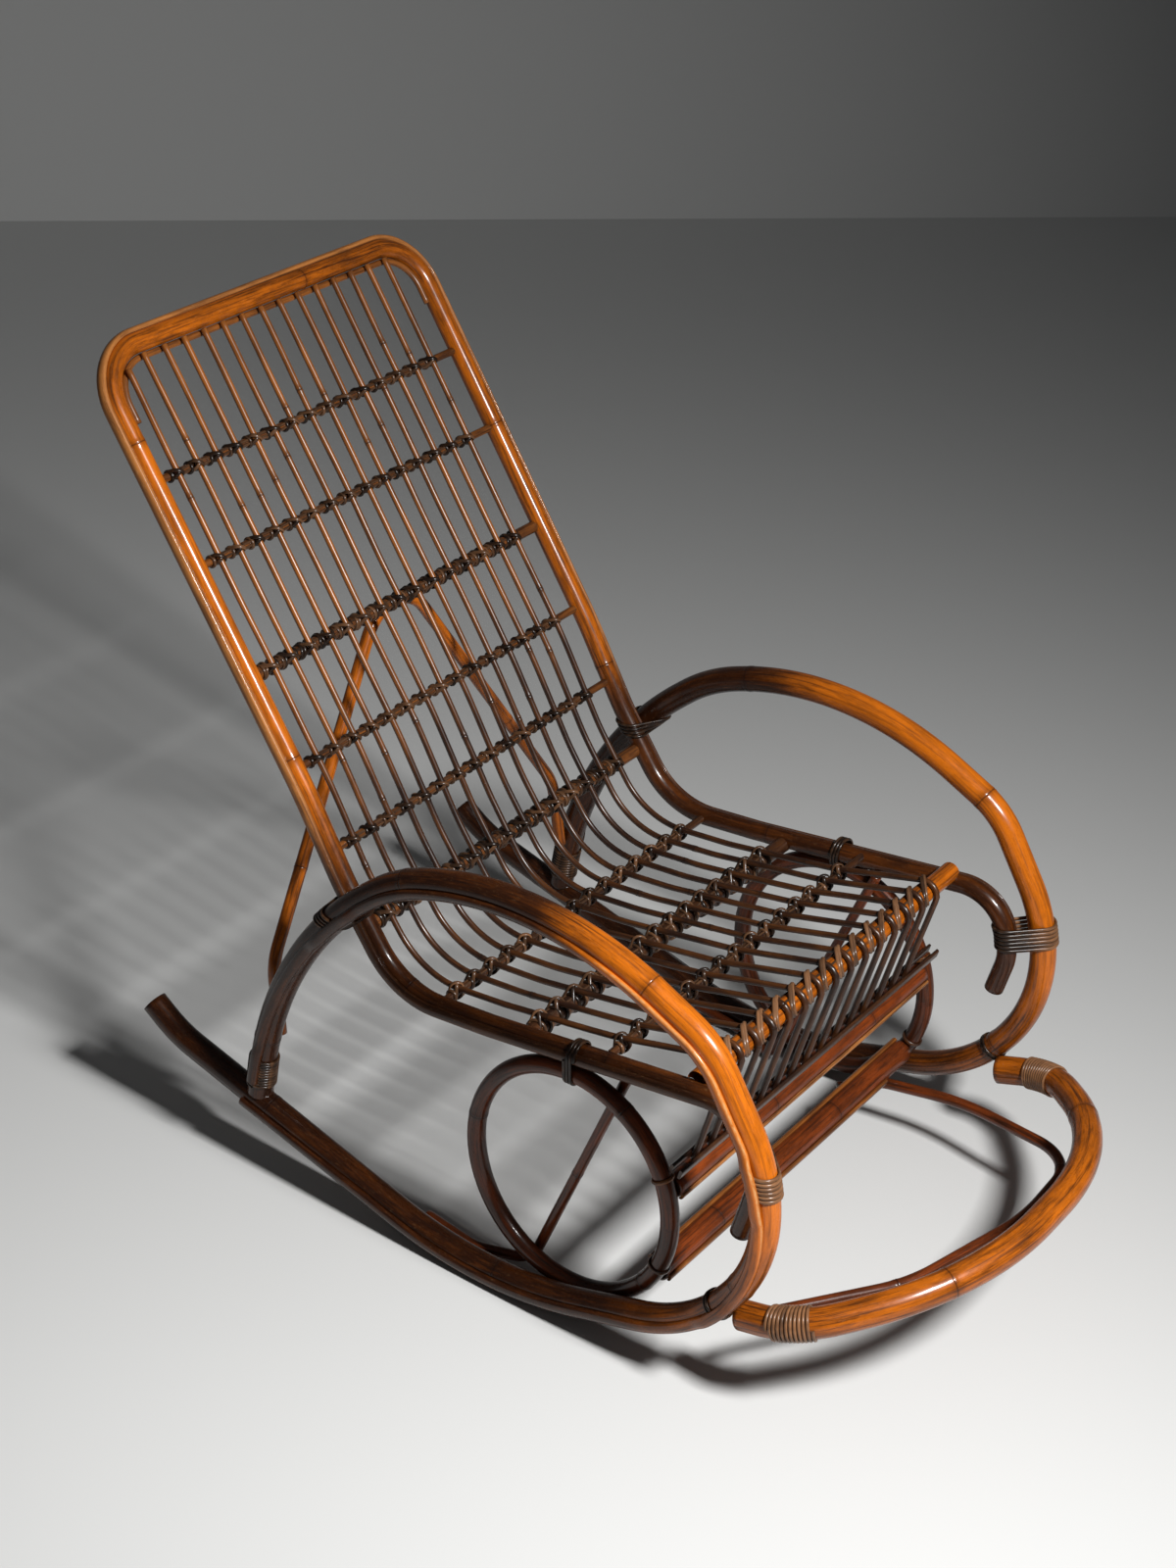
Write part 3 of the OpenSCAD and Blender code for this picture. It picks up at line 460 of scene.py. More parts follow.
# A flat or half round strip: its outline is [out, across] pairs round its middle line
def strip(shape, points, outs, outline, tone, seed, closed=False, dark_ends=0.0, worn=0.0):
    shift = grain_shift(random.Random(seed))
    n, edges = len(points), (1, len(outline) - 2)
    rings, s, total = [], 0.0, lengths(points)[-1]
    for i in range(n):
        a, b = points[max(i - 1, 0)], points[min(i + 1, n - 1)]
        if closed:
            a, b = points[i - 1], points[(i + 1) % n]
        t = (b - a).normalized()
        m = square_to(outs[i], t)
        w = t.cross(m)
        s += (points[i] - points[i - 1]).length if i else 0
        here = tone(points[i]) if callable(tone) else tone
        near_end = 0 if closed else dark_ends * exp(-min(s, total - s) / 12)
        ring = []
        for k, q in enumerate(outline):
            g = shift + Vector((q[0], q[1], s)) * MM
            rubbed = worn * max(0, 1 - 2 * here) if k in edges else 0
            v = points[i] + m * q[0] + w * q[1]
            ring.append(shape.add(v, g, min(1, here + near_end) - rubbed, 0))
        rings.append(ring)
    shape.walls(rings, closed)
    if not closed:
        for ring in (rings[0][::-1], rings[-1]):
            shape.face([shape.add_copy(k) for k in ring])


def half_round(w, t):
    turns = [pi * k / 8 for k in range(9)]
    return [[t * sin(a) ** 0.7, -w / 2 * cos(a)] for a in turns]


def band(w, t):
    # Flat cane: a softly crowned ribbon
    return [[0, -w / 2], [t * 0.55, -w * 0.46], [t * 0.9, -w * 0.28], [t, 0], [t * 0.9, w * 0.28],
            [t * 0.55, w * 0.46], [0, w / 2]]


# Materials
class Net:
    def __init__(self, name):
        self.material = bpy.data.materials.new(name)
        self.material.use_nodes = True
        self.tree = self.material.node_tree
        self.tree.nodes.clear()

    def node(self, kind, inputs=(), **settings):
        node = self.tree.nodes.new(kind)
        for key, value in settings.items():
            setattr(node, key, value)
        for key, value in dict(inputs).items():
            socket = node.inputs[key]
            if isinstance(value, bpy.types.NodeSocket):
                self.tree.links.new(value, socket)
            else:
                socket.default_value = value
        return node

    def math(self, operation, a, b=0.0, clamp=False):
        return self.node("ShaderNodeMath", {0: a, 1: b}, operation=operation,
                         use_clamp=clamp).outputs[0]

    def times(self, a, b):
        return self.math("MULTIPLY", a, b)

    def mix(self, part, a, b):
        a = (*a, 1) if isinstance(a, tuple) else a
        b = (*b, 1) if isinstance(b, tuple) else b
        return self.node("ShaderNodeMix", {0: part, 6: a, 7: b}, data_type="RGBA").outputs[2]

    def value(self, name, out="Fac"):
        return self.node("ShaderNodeAttribute", attribute_name=name).outputs[out]

    def noise(self, grain, squeeze, scale, detail, rough):
        # Squeezed along the grain, so that its spots are long streaks
        where = self.node("ShaderNodeMapping", {0: grain, 3: (1, 1, squeeze)}).outputs[0]
        return self.node("ShaderNodeTexNoise", {
            "Vector": where, "Scale": scale, "Detail": detail, "Roughness": rough}).outputs[0]

    def span(self, value, low, high, to_low=0.0, to_high=1.0):
        return self.node("ShaderNodeMapRange", {
            0: value, 1: low, 2: high, 3: to_low, 4: to_high}, clamp=True).outputs[0]


PALE_CANE = (0.50, 0.27, 0.11)


# Streak, fleck and bump say how strong the dark streaks, pale flecks and relief are, and polish
# is the roughness of the lacquer
def cane_material(name, lit, deep, black, rough, coat, streak=1.0, fleck=0.0, bump=1.0,
                  polish=0.12):
    net = Net(name)
    grain = net.value("grain", "Vector")
    tone = net.value("tone")
    knuckle = net.value("knuckle")
    # Long streaks, fine fibres, cloudy stains and short dark pores, all along the cane
    streaks = net.noise(grain, 0.03, 330, 5, 0.62)
    fibres = net.noise(grain, 0.02, 2600, 2, 0.5)
    clouds = net.noise(grain, 0.28, 60, 4, 0.62)
    pores = net.noise(grain, 0.12, 1500, 2, 0.5)
    wear = net.noise(grain, 0.4, 420, 4, 0.65)
    stains = net.noise(grain, 0.13, 190, 5, 0.7)
    dark_line = net.span(streaks, 0.50, 0.62)
    cloud = net.span(clouds, 0.38, 0.66)
    # The tone and the clouds take the lit colour to the deep one, and the rest lies over that.
    # Where the tone holds painted shade, this mix paints that shade into the colour.
    part = net.math("ADD", net.times(tone, 0.95),
                    net.times(net.math("SUBTRACT", cloud, 0.4), 0.5), clamp=True)
    base = net.mix(part, lit, deep)
    base = net.mix(net.span(tone, 0.55, 1.0, 0.0, 0.85), base, black)
    stained = net.times(net.span(stains, 0.50, 0.64), net.span(tone, 0, 0.6, 0.3, 0.8))
    base = net.mix(net.times(stained, streak), base, deep)
    lined = net.times(dark_line, net.span(tone, 0, 0.5, 0.35, 0.75))
    base = net.mix(net.times(lined, streak), base, black)
    base = net.mix(net.times(net.span(fibres, 0.35, 0.75), 0.30 * streak), base, deep)
    base = net.mix(net.times(net.span(pores, 0.66, 0.74), 0.55 * streak), base, black)
    base = net.mix(net.times(net.span(wear, 0.6, 0.72), fleck), base, PALE_CANE)
    # Rubbed edges have a tone under 0
    rubbed = net.times(net.span(tone, 0.0, -0.8), net.span(wear, 0.35, 0.6, 0.25, 1.0))
    base = net.mix(rubbed, base, PALE_CANE)
    base = net.mix(net.times(knuckle, 0.8), base, black)
    dull = net.math("ADD", net.span(wear, 0.3, 0.8, rough - 0.07, rough + 0.16),
                    net.times(dark_line, 0.12))
    shader = net.node("ShaderNodeBsdfPrincipled", {
        "Base Color": base, "Roughness": dull, "Coat Weight": coat, "Coat Roughness": polish,
        "IOR": 1.5, "Specular IOR Level": 0.15})
    if bump:
        uneven = net.math("ADD", net.times(fibres, 0.25), net.times(wear, 0.35))
        height = net.math("ADD", net.times(streaks, -0.55), uneven)
        relief = net.node("ShaderNodeBump", {
            "Strength": 0.4 * bump, "Distance": 0.0004, "Height": height})
        net.tree.links.new(relief.outputs[0], shader.inputs["Normal"])
    net.node("ShaderNodeOutputMaterial", {0: shader.outputs[0]})
    return net.material


# Each cane has its lit, deep and black colour, its roughness and its coat of lacquer
amber = cane_material(
    "amber_cane", (0.54, 0.130, 0.005), (0.072, 0.020, 0.004), (0.009, 0.003, 0.002),
    0.28, 0.4, fleck=0.10, bump=0.45, polish=0.16)
brown = cane_material(
    "brown_cane", (0.20, 0.038, 0.006), (0.028, 0.009, 0.004), (0.006, 0.003, 0.002),
    0.30, 0.35, fleck=0.05)
rod_cane = cane_material(
    "rod_cane", (0.30, 0.095, 0.016), (0.028, 0.011, 0.006), (0.007, 0.004, 0.003),
    0.32, 0.5, streak=0.8, fleck=0.06, bump=0.0, polish=0.27)
tan_cane = cane_material(
    "tan_cane", (0.42, 0.160, 0.040), (0.10, 0.034, 0.013), (0.018, 0.007, 0.004),
    0.36, 0.3, fleck=0.3)
tie_cane = cane_material(
    "tie_cane", (0.24, 0.112, 0.050), (0.024, 0.012, 0.007), (0.005, 0.003, 0.002),
    0.32, 0.3, streak=0.7, fleck=0.08, bump=0.5, polish=0.2)


def height_tone(low, high, dark, light):
    # A tone that goes evenly from dark at the low height to light at the high one. On the rings
    # and the rear brace this darkening low down is partly the cane's own colour and partly painted
    # shade.
    def tone(q):
        return dark + (light - dark) * part_of((q.z - low) / (high - low))
    return tone


# The side frames, with the flat worn under each runner and the cut foot of each rear leg
foot_axis = heading(side_corners, 8)


def runner_top(x, y):
    point, slope = passes(side_route, 1, y)[0]
    half, r = x - SIDE_X, SIDE_D / 2 + SEAT_GAP
    return point.z + sqrt(r * r - min(half * half, r * r * 0.64)) / cos(slope)


def side_trim(v, end):
    # The last end is the foot of the rear leg, cut to lie on the runner
    if end > 0:
        y = v.y + (runner_top(v.x, v.y) - v.z) * foot_axis.y / foot_axis.z
        return Vector((v.x, y, runner_top(v.x, y)))
    return Vector((v.x, v.y, max(v.z, floor_z)))


def side_tone(rear):
    # Amber over the front of the arm, darker down the curl and towards the rear leg, where the
    # two sides differ in how far back the amber goes. These darkenings are partly the cane's own
    # darker colour and partly painted shade on the parts turned from the lamp, low down and under
    # the seat.
    def tone(q):
        back = ease(q.y, rear - 110, rear + 60)
        down = ease(300 - q.z, 0, 180)
        under = ease(q.y, 60, 260) * ease(250 - q.z, 0, 60)
        return min(1, 0.04 + back + 0.55 * down + 0.45 * under)
    return tone


for name, mirrored, knuckles, seed in (
        ("right", True, (205, 560, 935, 1330, 1660, 2040, 2420), 11),
        ("left", False, (150, 510, 900, 1265, 1610, 1985, 2380), 12)):
    shape = Shape(mirrored)
    tube(shape, side_route, SIDE_D, 28, (1, 0, 0), knuckles, side_tone(DARK_AND_SHADED_REAR[name]), seed,
         trim=side_trim)
    shape.make(name + "_side_pole", amber, name + "_side_frame")

# The places of the bindings on the side frames, each with half its length. The strip is lifted
# there to lie over the wound cane.
foot_point = vec(side_corners[9])
foot_rise = runner_top(foot_point.x, foot_point.y) - foot_point.z
foot_top_y = foot_point.y + foot_rise * foot_axis.y / foot_axis.z
foot_top = Vector((SIDE_X, foot_top_y, runner_top(SIDE_X, foot_top_y)))
foot_middle = foot_top - foot_axis * (FOOT_START + FOOT_TURNS * TURN_PITCH / 2)
front_lash = passes(side_route, 2, FRONT_LASH_Z)[0][0]
curl_way = smooth(side_corners[2:6])
curl_band = passes(curl_way, 2, CURL_BAND_Z)[0][0]
rear_leg = smooth(side_corners[6:])
crossing = passes(rear_leg, 2, CROSSING_Z)[0][0]
wrapped = [
    (foot_middle, FOOT_TURNS * TURN_PITCH / 2), (front_lash, FRONT_TURNS * TURN_PITCH / 2),
    (curl_band, BAND_TURNS * TURN_PITCH / 2), (crossing, BACK_TURNS * TURN_PITCH / 2 + SIDE_D / 2)]


def lift(p):
    return LIFT_MOST * max(
        ease(half + LIFT_BEYOND + LIFT_RISE - (p - place).length, 0, LIFT_RISE)
        for place, half in wrapped)


# The half round strips on the side frames
first_way, last_way = heading(side_corners, 1), heading(side_corners, 8)
arm_corner = vec(side_corners[2])
strip_rear = arm_corner - first_way * ((STRIP_REAR_Y - arm_corner.y) / -first_way.y)
strip_foot = foot_point - last_way * ((STRIP_LEG_Z - foot_point.z) / -last_way.z)
strip_corners = [list(strip_rear)] + side_corners[2:9] + [list(strip_foot)]
side_strip_way = even(smooth(strip_corners), STRIP_STEP)


def strip_outs(p):
    # Outward from the side frame and a little down, less so near the floor
    outs = []
    for i, q in enumerate(p):
        t = ahead(p, i)
        drop = STRIP_DROP * max(0.2, part_of((q.z - bend_z) / 140))
        down = Vector((0, 0, -1))
        outs.append((Vector((1, 0, 0)) + (down - t * down.dot(t)) * drop).normalized())
    return outs


outs = strip_outs(side_strip_way)
raised = [q + m * (SIDE_D / 2 - STRIP_SUNK + lift(q)) for q, m in zip(side_strip_way, outs)]
for name, mirrored, seed in (("right", True, 21), ("left", False, 22)):
    shape = Shape(mirrored)
    strip(shape, raised, outs, half_round(SIDE_STRIP_W, SIDE_STRIP_T), side_tone(DARK_AND_SHADED_REAR[name]),
          seed, worn=0.9)
    shape.make(name + "_side_half_round", amber, name + "_side_strip")


# The back and seat frame, its outer strip and the thin cane inside its top
def back_tone(q):
    # Dark round the seat, amber above it, and darker again over the top and up the left side.
    # The darkening round the seat is partly the cane's own darker colour and partly painted shade
    # under the seat.
    left_side = 0.24 * ease(q.x, -150, 200) * ease(q.z, 480, 620)
    return 0.06 + 0.86 * ease(560 - q.z, 0, 150) + 0.26 * ease(q.z, 860, 930) + left_side


def back_strip_tone(q):
    # Darker round the seat, partly as the strip's own colour and partly as painted shade under the
    # seat
    return 0.12 + 0.8 * ease(560 - q.z, 0, 150)


shape = Shape()
tube(shape, back_route, BACK_D, 24, (1, 0.01, 0.02), (330, 610, 905, 1290, 1700, 2120, 2450, 2790),
     back_tone, 31)
shape.make("back_pole", amber, "back_frame")

shape = Shape()
kept = [q for q in even(back_route, STRIP_STEP) if q.z > BACK_STRIP_LOW]
outs = carried([ahead(kept, i) for i in range(len(kept))], Vector((-1, 0, 0)))
strip(shape, [q + m * (BACK_D / 2) for q, m in zip(kept, outs)], outs,
      half_round(BACK_STRIP_W, BACK_STRIP_T), back_strip_tone, 32)
shape.make("back_half_round", tan_cane, "back_strip")

inner_below = BACK_D / 2 + INNER_STRIP_D / 2 + SEAT_GAP
inner_forward = rod_off - ROD_D / 2 - INNER_STRIP_D / 2 - SEAT_GAP
inner_top = back_top_point - along_back * inner_below + out_of_back * inner_forward
inner_low = inner_top - along_back * INNER_LEG
inner_x, inner_bend = back_x - inner_below, TOP_BEND - inner_below
shape = Shape()
tube(shape, smooth([
    [-inner_x, inner_low.y, inner_low.z], [-inner_x, inner_top.y, inner_top.z, inner_bend],
    [inner_x, inner_top.y, inner_top.z, inner_bend], [inner_x, inner_low.y, inner_low.z]]),
    INNER_STRIP_D, 14, (1, 0, 0), (), 0.35, 33, wander=0.2)
shape.make("inner_thin_cane", rod_cane, "top_inner_strip")

# The long round rods, each a little different
for i in range(1, ROD_COUNT + 1):
    chance = random.Random(100 + i)
    knuckles = [s for s in (
        chance.uniform(90, 200) + k * chance.uniform(330, 420) for k in range(5))
        if s < LAST_ROD_KNUCKLE]
    waves = [
        (chance.uniform(0, 2 * pi), 2 * pi / chance.uniform(150, 420), chance.uniform(0.2, 0.5))
        for _ in range(2)]

    def sway(s, waves=waves):
        return Vector((sum(a * sin(f + s * g) for f, g, a in waves), 0, 0))

    paler = chance.uniform(0.02, 0.4)

    def rod_tone(q, paler=paler):
        return min(0.8, paler + 0.7 * ease(640 - q.z, 0, 200))

    shape = Shape()
    tube(shape, smooth(rod_corners(rod_x(i))), ROD_D, 14, (0, -1, 0), knuckles,
         rod_tone, 100 + i, 7, wander=0.2, sway=sway)
    shape.make("round_rod_%02d" % i, rod_cane, "rod_%02d" % i)


# Cross pieces with hollowed ends
def cross_piece(name, node, at, d, seat, material, tone, seed):
    c = behind(at, d)
    on = passes(half_frame, 1, c.y)[0] if seat else passes(half_frame, 2, c.z)[0]
    way = Vector((0, cos(on[1]), sin(on[1])))
    chance = random.Random(seed)

    def trim(v, end):
        # Both ends are hollowed to sit against the frame
        if not end:
            return v
        off = v - Vector((v.x, on[0].y, on[0].z))
        far = abs(off.y * way.z - off.z * way.y)
        r = BACK_D / 2 + SEAT_GAP
        x = back_x - sqrt(max(0, r * r - far * far))
        return Vector((x * end, v.y, v.z))

    shape = Shape()
    half = back_x - BACK_D / 2 - 1
    knuckles = [chance.uniform(60, 200), chance.uniform(280, 470)]
    tube(shape, [Vector((-half, c.y, c.z)), Vector((half, c.y, c.z))], d, 18, (0, 1, 0),
         knuckles, tone, seed, 8, trim=trim, caps=False, wander=0.25)
    shape.make(name, material, node)


for i in range(6):
    cross_piece("back_cross_%d" % (i + 1), "back_rung_%d" % (i + 1), back_at[i], BACK_RUNG_D[i],
                False, rod_cane, 0.6, 200 + i)
for i in range(3):
    cross_piece("seat_cross_%d" % (i + 1), "seat_rung_%d" % (i + 1), seat_at[i], SEAT_RUNG_D[i],
                True, rod_cane, 0.85, 210 + i)
cross_piece("seat_cross_4", "seat_front_roll", seat_at[3], SEAT_RUNG_D[3], True, amber,
            0.3, 213)


# The outline round two ellipses, used wherever one cane goes round two others
def hull(points):
    points = sorted({(round(x, 6), round(y, 6)) for x, y in points})

    def chain(row):
        line = []
        for q in row:
            while len(line) > 1 and (
                    (line[-1][0] - line[-2][0]) * (q[1] - line[-2][1])
                    - (line[-1][1] - line[-2][1]) * (q[0] - line[-2][0])) <= 0:
                line.pop()
            line.append(q)
        return line[:-1]
    return chain(points) + chain(points[::-1])


def ellipse(cx, cy, rx, ry):
    turns = [2 * pi * k / 32 for k in range(32)]
    return [(cx + rx * cos(a), cy + ry * sin(a)) for a in turns]


def loop_round(ellipses, n):
    # Evenly spaced [place, outward] pairs from the point farthest along x
    line = hull([q for e in ellipses for q in ellipse(*e)])
    start = max(range(len(line)), key=lambda k: (line[k][0], line[k][1]))
    line = [Vector((*q, 0)) for q in line[start:] + line[:start]]
    line.append(line[0])
    far = lengths(line)
    spots = [at_length(line, far, far[-1] * k / n) for k in range(n)]
    found = []
    for k in range(n):
        d = spots[(k + 1) % n] - spots[k - 1]
        found.append((spots[k], Vector((d.y, -d.x, 0)).normalized()))
    return found


# Cane knots: two loops that cross over the rod and go round the cross piece, collars on each
# side of the rod, and two strands that run along the cross piece from knot to knot
def collar(shape, middle, along, up, d, lean, size, tone, seed):
    points, outs = [], []
    for k in range(16):
        a = 2 * pi * k / 16
        n = along * cos(a) + up * sin(a)
        points.append(middle + n * (d / 2 + 0.1) + Vector((lean * d / 2 * cos(a), 0, 0)))
        outs.append(n)
    strip(shape, points, outs, band(*size), tone, seed, closed=True)


# Light is the palest tone, beside moves the two loops apart along the cross piece, and reach
# says how far they go round it
def knots(shape, at, d, seed, collars, light, beside=0.0, reach=0.62):
    chance = random.Random(seed)
    along = Vector((0, cos(at[1]), sin(at[1])))
    up = Vector((0, -sin(at[1]), cos(at[1])))
    across = Vector((1, 0, 0))
    deep = ROD_D / 2 + SEAT_GAP + d / 2
    for i in range(1, ROD_COUNT + 1):
        middle = Vector((rod_x(i), at[0].y, at[0].z))
        turn = KNOT_TURN + chance.uniform(-0.12, 0.12)
        for crossed in (1, -1):
            # The second loop lies over the first, or beside it
            slant = across * cos(turn) + along * sin(turn) * (1 if beside else crossed)
            over = 0 if crossed > 0 or beside else KNOT_LIFT
            rod_r, cross_r = ROD_D / 2 + KNOT_SPACE + over, d / 2 + 1.9 + over
            spots = loop_round([
                (0, 0, rod_r / cos(turn), rod_r),
                (0, -deep, (cross_r + 0.1) / sin(turn) * reach, cross_r)], 24)
            middle_loop = middle + across * beside * crossed
            points = [middle_loop + slant * q.x + up * q.y for q, n in spots]
            outs = [slant * n.x + up * n.y for q, n in spots]
            strip(shape, points, outs, band(*KNOT_BAND), chance.uniform(light, light + 0.6),
                  seed * 50 + 2 * i + crossed, closed=True)
        for side in (-1, 1):
            for k in range(collars):
                lean = chance.uniform(-0.3, 0.3)
                off = ROD_D / 2 + COLLAR_SPACE + COLLAR_PITCH * k + chance.uniform(-0.4, 0.5)
                collar(shape, middle - up * deep + across * side * off, along, up, d, lean,
                       (COLLAR_W, COLLAR_T - COLLAR_LESS * k), chance.uniform(light, light + 0.7),
                       seed * 90 + 2 * i + side + 40 * k)
    # The two strands, each leaning to its own side of the cross piece
    for lean, width in ((0.45, 3.4), (-0.5, 2.8)):
        n = up * cos(lean) + along * sin(lean)
        points = []
        for x in spread(rod_x(1), rod_x(ROD_COUNT), 90):
            wave = along * 0.5 * sin(x / 9 + seed)
            points.append(Vector((x, at[0].y, at[0].z)) - up * deep + n * (d / 2 - 0.1) + wave)
        strip(shape, points, [n] * len(points), band(width, 1.1), 0.7, seed * 7 + 3)


shape = Shape()
for i in range(6):
    knots(shape, back_at[i], BACK_RUNG_D[i], 301 + i, 2 if i in THICK_BACK else 1, 0.5)
shape.make("back_cane_knots", tie_cane, "back_knots")
shape = Shape()
for i in range(3):
    knots(shape, seat_at[i], SEAT_RUNG_D[i], 311 + i, 1, 0.45)
knots(shape, seat_at[3], SEAT_RUNG_D[3], 314, 0, 0.2, 2.3, 0.8)
shape.make("seat_cane_knots", tie_cane, "seat_knots")

# The two flat strips that hold the lower ends of the rods
tilt = atan2(middle_rod[6][1] - rod_end_y, middle_rod[6][2] - APRON_Z + ROD_BELOW)
apron_out = Vector((0, cos(tilt), -sin(tilt)))
apron_middle = Vector((0, rod_end_y + ROD_BELOW * sin(tilt), APRON_Z))
w, t = APRON_W, APRON_T
apron_outline = [
    [0, -w / 2 + 0.6], [0.6, -w / 2], [t - 1.2, -w / 2], [t, -w / 2 + 2], [t, w / 2 - 2],
    [t - 1.2, w / 2], [0.6, w / 2], [0, w / 2 - 0.6]]
for name, sign, seed in (("apron_front", -1, 41), ("apron_back", 1, 42)):
    shape = Shape()
    c = apron_middle + apron_out * sign * (ROD_D / 2 + SEAT_GAP)
    points = [c + Vector((x, 0, 0)) for x in spread(-ring_x, ring_x, 60)]
    strip(shape, points, [apron_out * sign] * len(points), apron_outline, 0.85, seed)
    shape.make(name + "_flat", rod_cane, name + "_strip")

# The front stretchers and their thin strips
stretcher_half = ring_x - RING_D / 2 - SEAT_GAP


def stretcher(name, node, z, d, seed, tone, knuckles):
    shape = Shape()
    y = ring_front(z)
    tube(shape, [Vector((-stretcher_half, y, z)), Vector((stretcher_half, y, z))], d, 24, (0, 1, 0),
         knuckles, tone, seed)
    shape.make(name, brown, node)


def thin_strip(shape, z, d, angle, high, seed):
    y = ring_front(z)
    out = Vector((0, -cos(radians(angle)), sin(radians(angle))))
    points = [Vector((x, y, z)) + out * (d / 2 - 0.1) for x in spread(-stretcher_half, high, 60)]
    strip(shape, points, [out] * len(points), half_round(THIN_W, THIN_T), 0.4, seed)


def ring_bands(shape, z, d, seed):
    # One turn of cane round each ring, on top of the stretcher's end
    at_z = z + d / 2 + 3
    middle = Vector((ring_x, ring_front(at_z), at_z))
    way = Vector((0, ring_front(at_z + 2) - ring_front(at_z - 2), 4)).normalized()
    turned = way.cross(Vector((1, 0, 0)))
    outs = [Vector((cos(pi * k / 10), 0, 0)) + turned * sin(pi * k / 10) for k in range(20)]
    points = [middle + n * (RING_D / 2 + 0.1) for n in outs]
    for sign in (1, -1):
        shape.side = sign
        strip(shape, points, outs, band(*RING_TURN_BAND), 0.7, seed, closed=True)
    shape.side = 1


stretcher("upper_front_stretcher", "upper_stretcher", UPPER_Z, UPPER_D, 51, 0.25, (190, 400))
stretcher("lower_front_stretcher", "lower_stretcher", LOWER_Z, LOWER_D, 52, 0.35, (110, 360))
shape = Shape()
ring_bands(shape, UPPER_Z, UPPER_D, 56)
thin_strip(shape, UPPER_Z, UPPER_D, -35, stretcher_half, 53)
shape.make("upper_thin_half_round", tan_cane, "upper_stretcher_strip")
shape = Shape()
ring_bands(shape, LOWER_Z, LOWER_D, 57)
thin_strip(shape, LOWER_Z, LOWER_D, -20, stretcher_half - LOWER_STRIP_SHORT, 54)
thin_strip(shape, LOWER_Z, LOWER_D, 130, stretcher_half, 55)
shape.make("lower_thin_half_rounds", rod_cane, "lower_stretcher_strips")

# The oval rings
ring_turns = [2 * pi * k / 180 for k in range(180)]
ring_line = [
    Vector((ring_x, RING_Y - RING_DEPTH / 2 * cos(a), ring_middle_z - ring_half * sin(a)))
    for a in ring_turns]
ring_tone = height_tone(40, 320, 0.75, 0.5)
for name, mirrored, knuckles, seed in (
        ("right", True, (95, 470, 730), 61), ("left", False, (220, 560), 62)):
    shape = Shape(mirrored)
    tube(shape, ring_line, RING_D, 22, (1, 0, 0), knuckles, ring_tone, seed, closed=True)
    shape.make(name + "_ring", brown, name + "_oval_ring")

# The rear brace and the braces under the seat
brace_x = SIDE_X - SIDE_D / 2 - REAR_BRACE_D / 2 - SEAT_GAP
leg_at_foot = passes(rear_leg, 2, BRACE_FOOT_Z)[0][0]
brace_apart = (BACK_RUNG_D[2] + REAR_BRACE_D) / 2 + SEAT_GAP
apex = behind(back_at[2], BACK_RUNG_D[2]) - out_of_back * brace_apart
knee = [min(BRACE_KNEE[0], brace_x - 2)] + BRACE_KNEE[1:]
# The brace touches the back at its apex, so the corner of its top bend lies higher, by as much
# as the bend cuts off. Repeating the step settles it.
rise = apex.z - knee[2]
corner_rise = rise + BRACE_BEND * 0.7
for _ in range(14):
    corner_rise = rise + BRACE_BEND * (sqrt(knee[0] ** 2 + corner_rise ** 2) / knee[0] - 1)
brace_top_y = knee[1] + (apex.y - knee[1]) * corner_rise / rise
brace_top = [0, brace_top_y, knee[2] + corner_rise, BRACE_BEND]
shape = Shape()
tube(shape, smooth([
    [-brace_x, leg_at_foot.y, BRACE_FOOT_Z], [-knee[0]] + knee[1:], brace_top, knee,
    [brace_x, leg_at_foot.y, BRACE_FOOT_Z]]), REAR_BRACE_D, 18, (1, 0, 0), (210, 540, 860),
    height_tone(180, 640, 0.6, 0.2), 71)
shape.make("bent_rear_brace", amber, "rear_brace")

seat_brace_in = ring_x - RING_D / 2 - SEAT_BRACE_D / 2 - SEAT_GAP - 0.5
seat_brace_out = SIDE_X - SIDE_D / 2 - SEAT_BRACE_D / 2 - SEAT_GAP
rail, rail_slope = passes(half_frame, 1, SEAT_BRACE_LINE[0][0])[0]
rail_off = max(0, back_x - seat_brace_in - SEAT_BRACE_D / 2)
brace_top_z = (rail.z - sqrt((BACK_D / 2 + SEAT_GAP) ** 2 - rail_off * rail_off)
               - SEAT_BRACE_D / 2 * abs(tan(rail_slope)))
top, inner, outer, low = SEAT_BRACE_LINE
seat_brace_way = smooth([
    [seat_brace_in, top[0], brace_top_z], yz(seat_brace_in, inner), yz(seat_brace_out, outer),
    yz(seat_brace_out, low)])
for name, mirrored, seed in (("right", True, 72), ("left", False, 73)):
    shape = Shape(mirrored)
    tube(shape, seat_brace_way, SEAT_BRACE_D, 16, (1, 0, 0), (180,), 0.35, seed, wander=0.25)
    shape.make(name + "_under_brace", brown, name + "_seat_brace")


# The footrest
def loop_tone(q):
    # Darker towards both ends
    return 0.34 + 0.2 * ease(q.x, 60, 250) + 0.2 * ease(-q.x, 230, 285)


shape = Shape()
tube(shape, smooth(loop_corners), LOOP_D, 28, (1, 0.01, 0.02), (240, 620), loop_tone, 81)
shape.make("footrest_pole", amber, "footrest_loop")
shape = Shape()
tube(shape, smooth(INNER_CANE_LINE), INNER_CANE_D, 16, (1, 0.01, 0.02), (160, 470), 0.5, 82,
     wander=0.3)
shape.make("footrest_thin_cane", brown, "footrest_inner_cane")


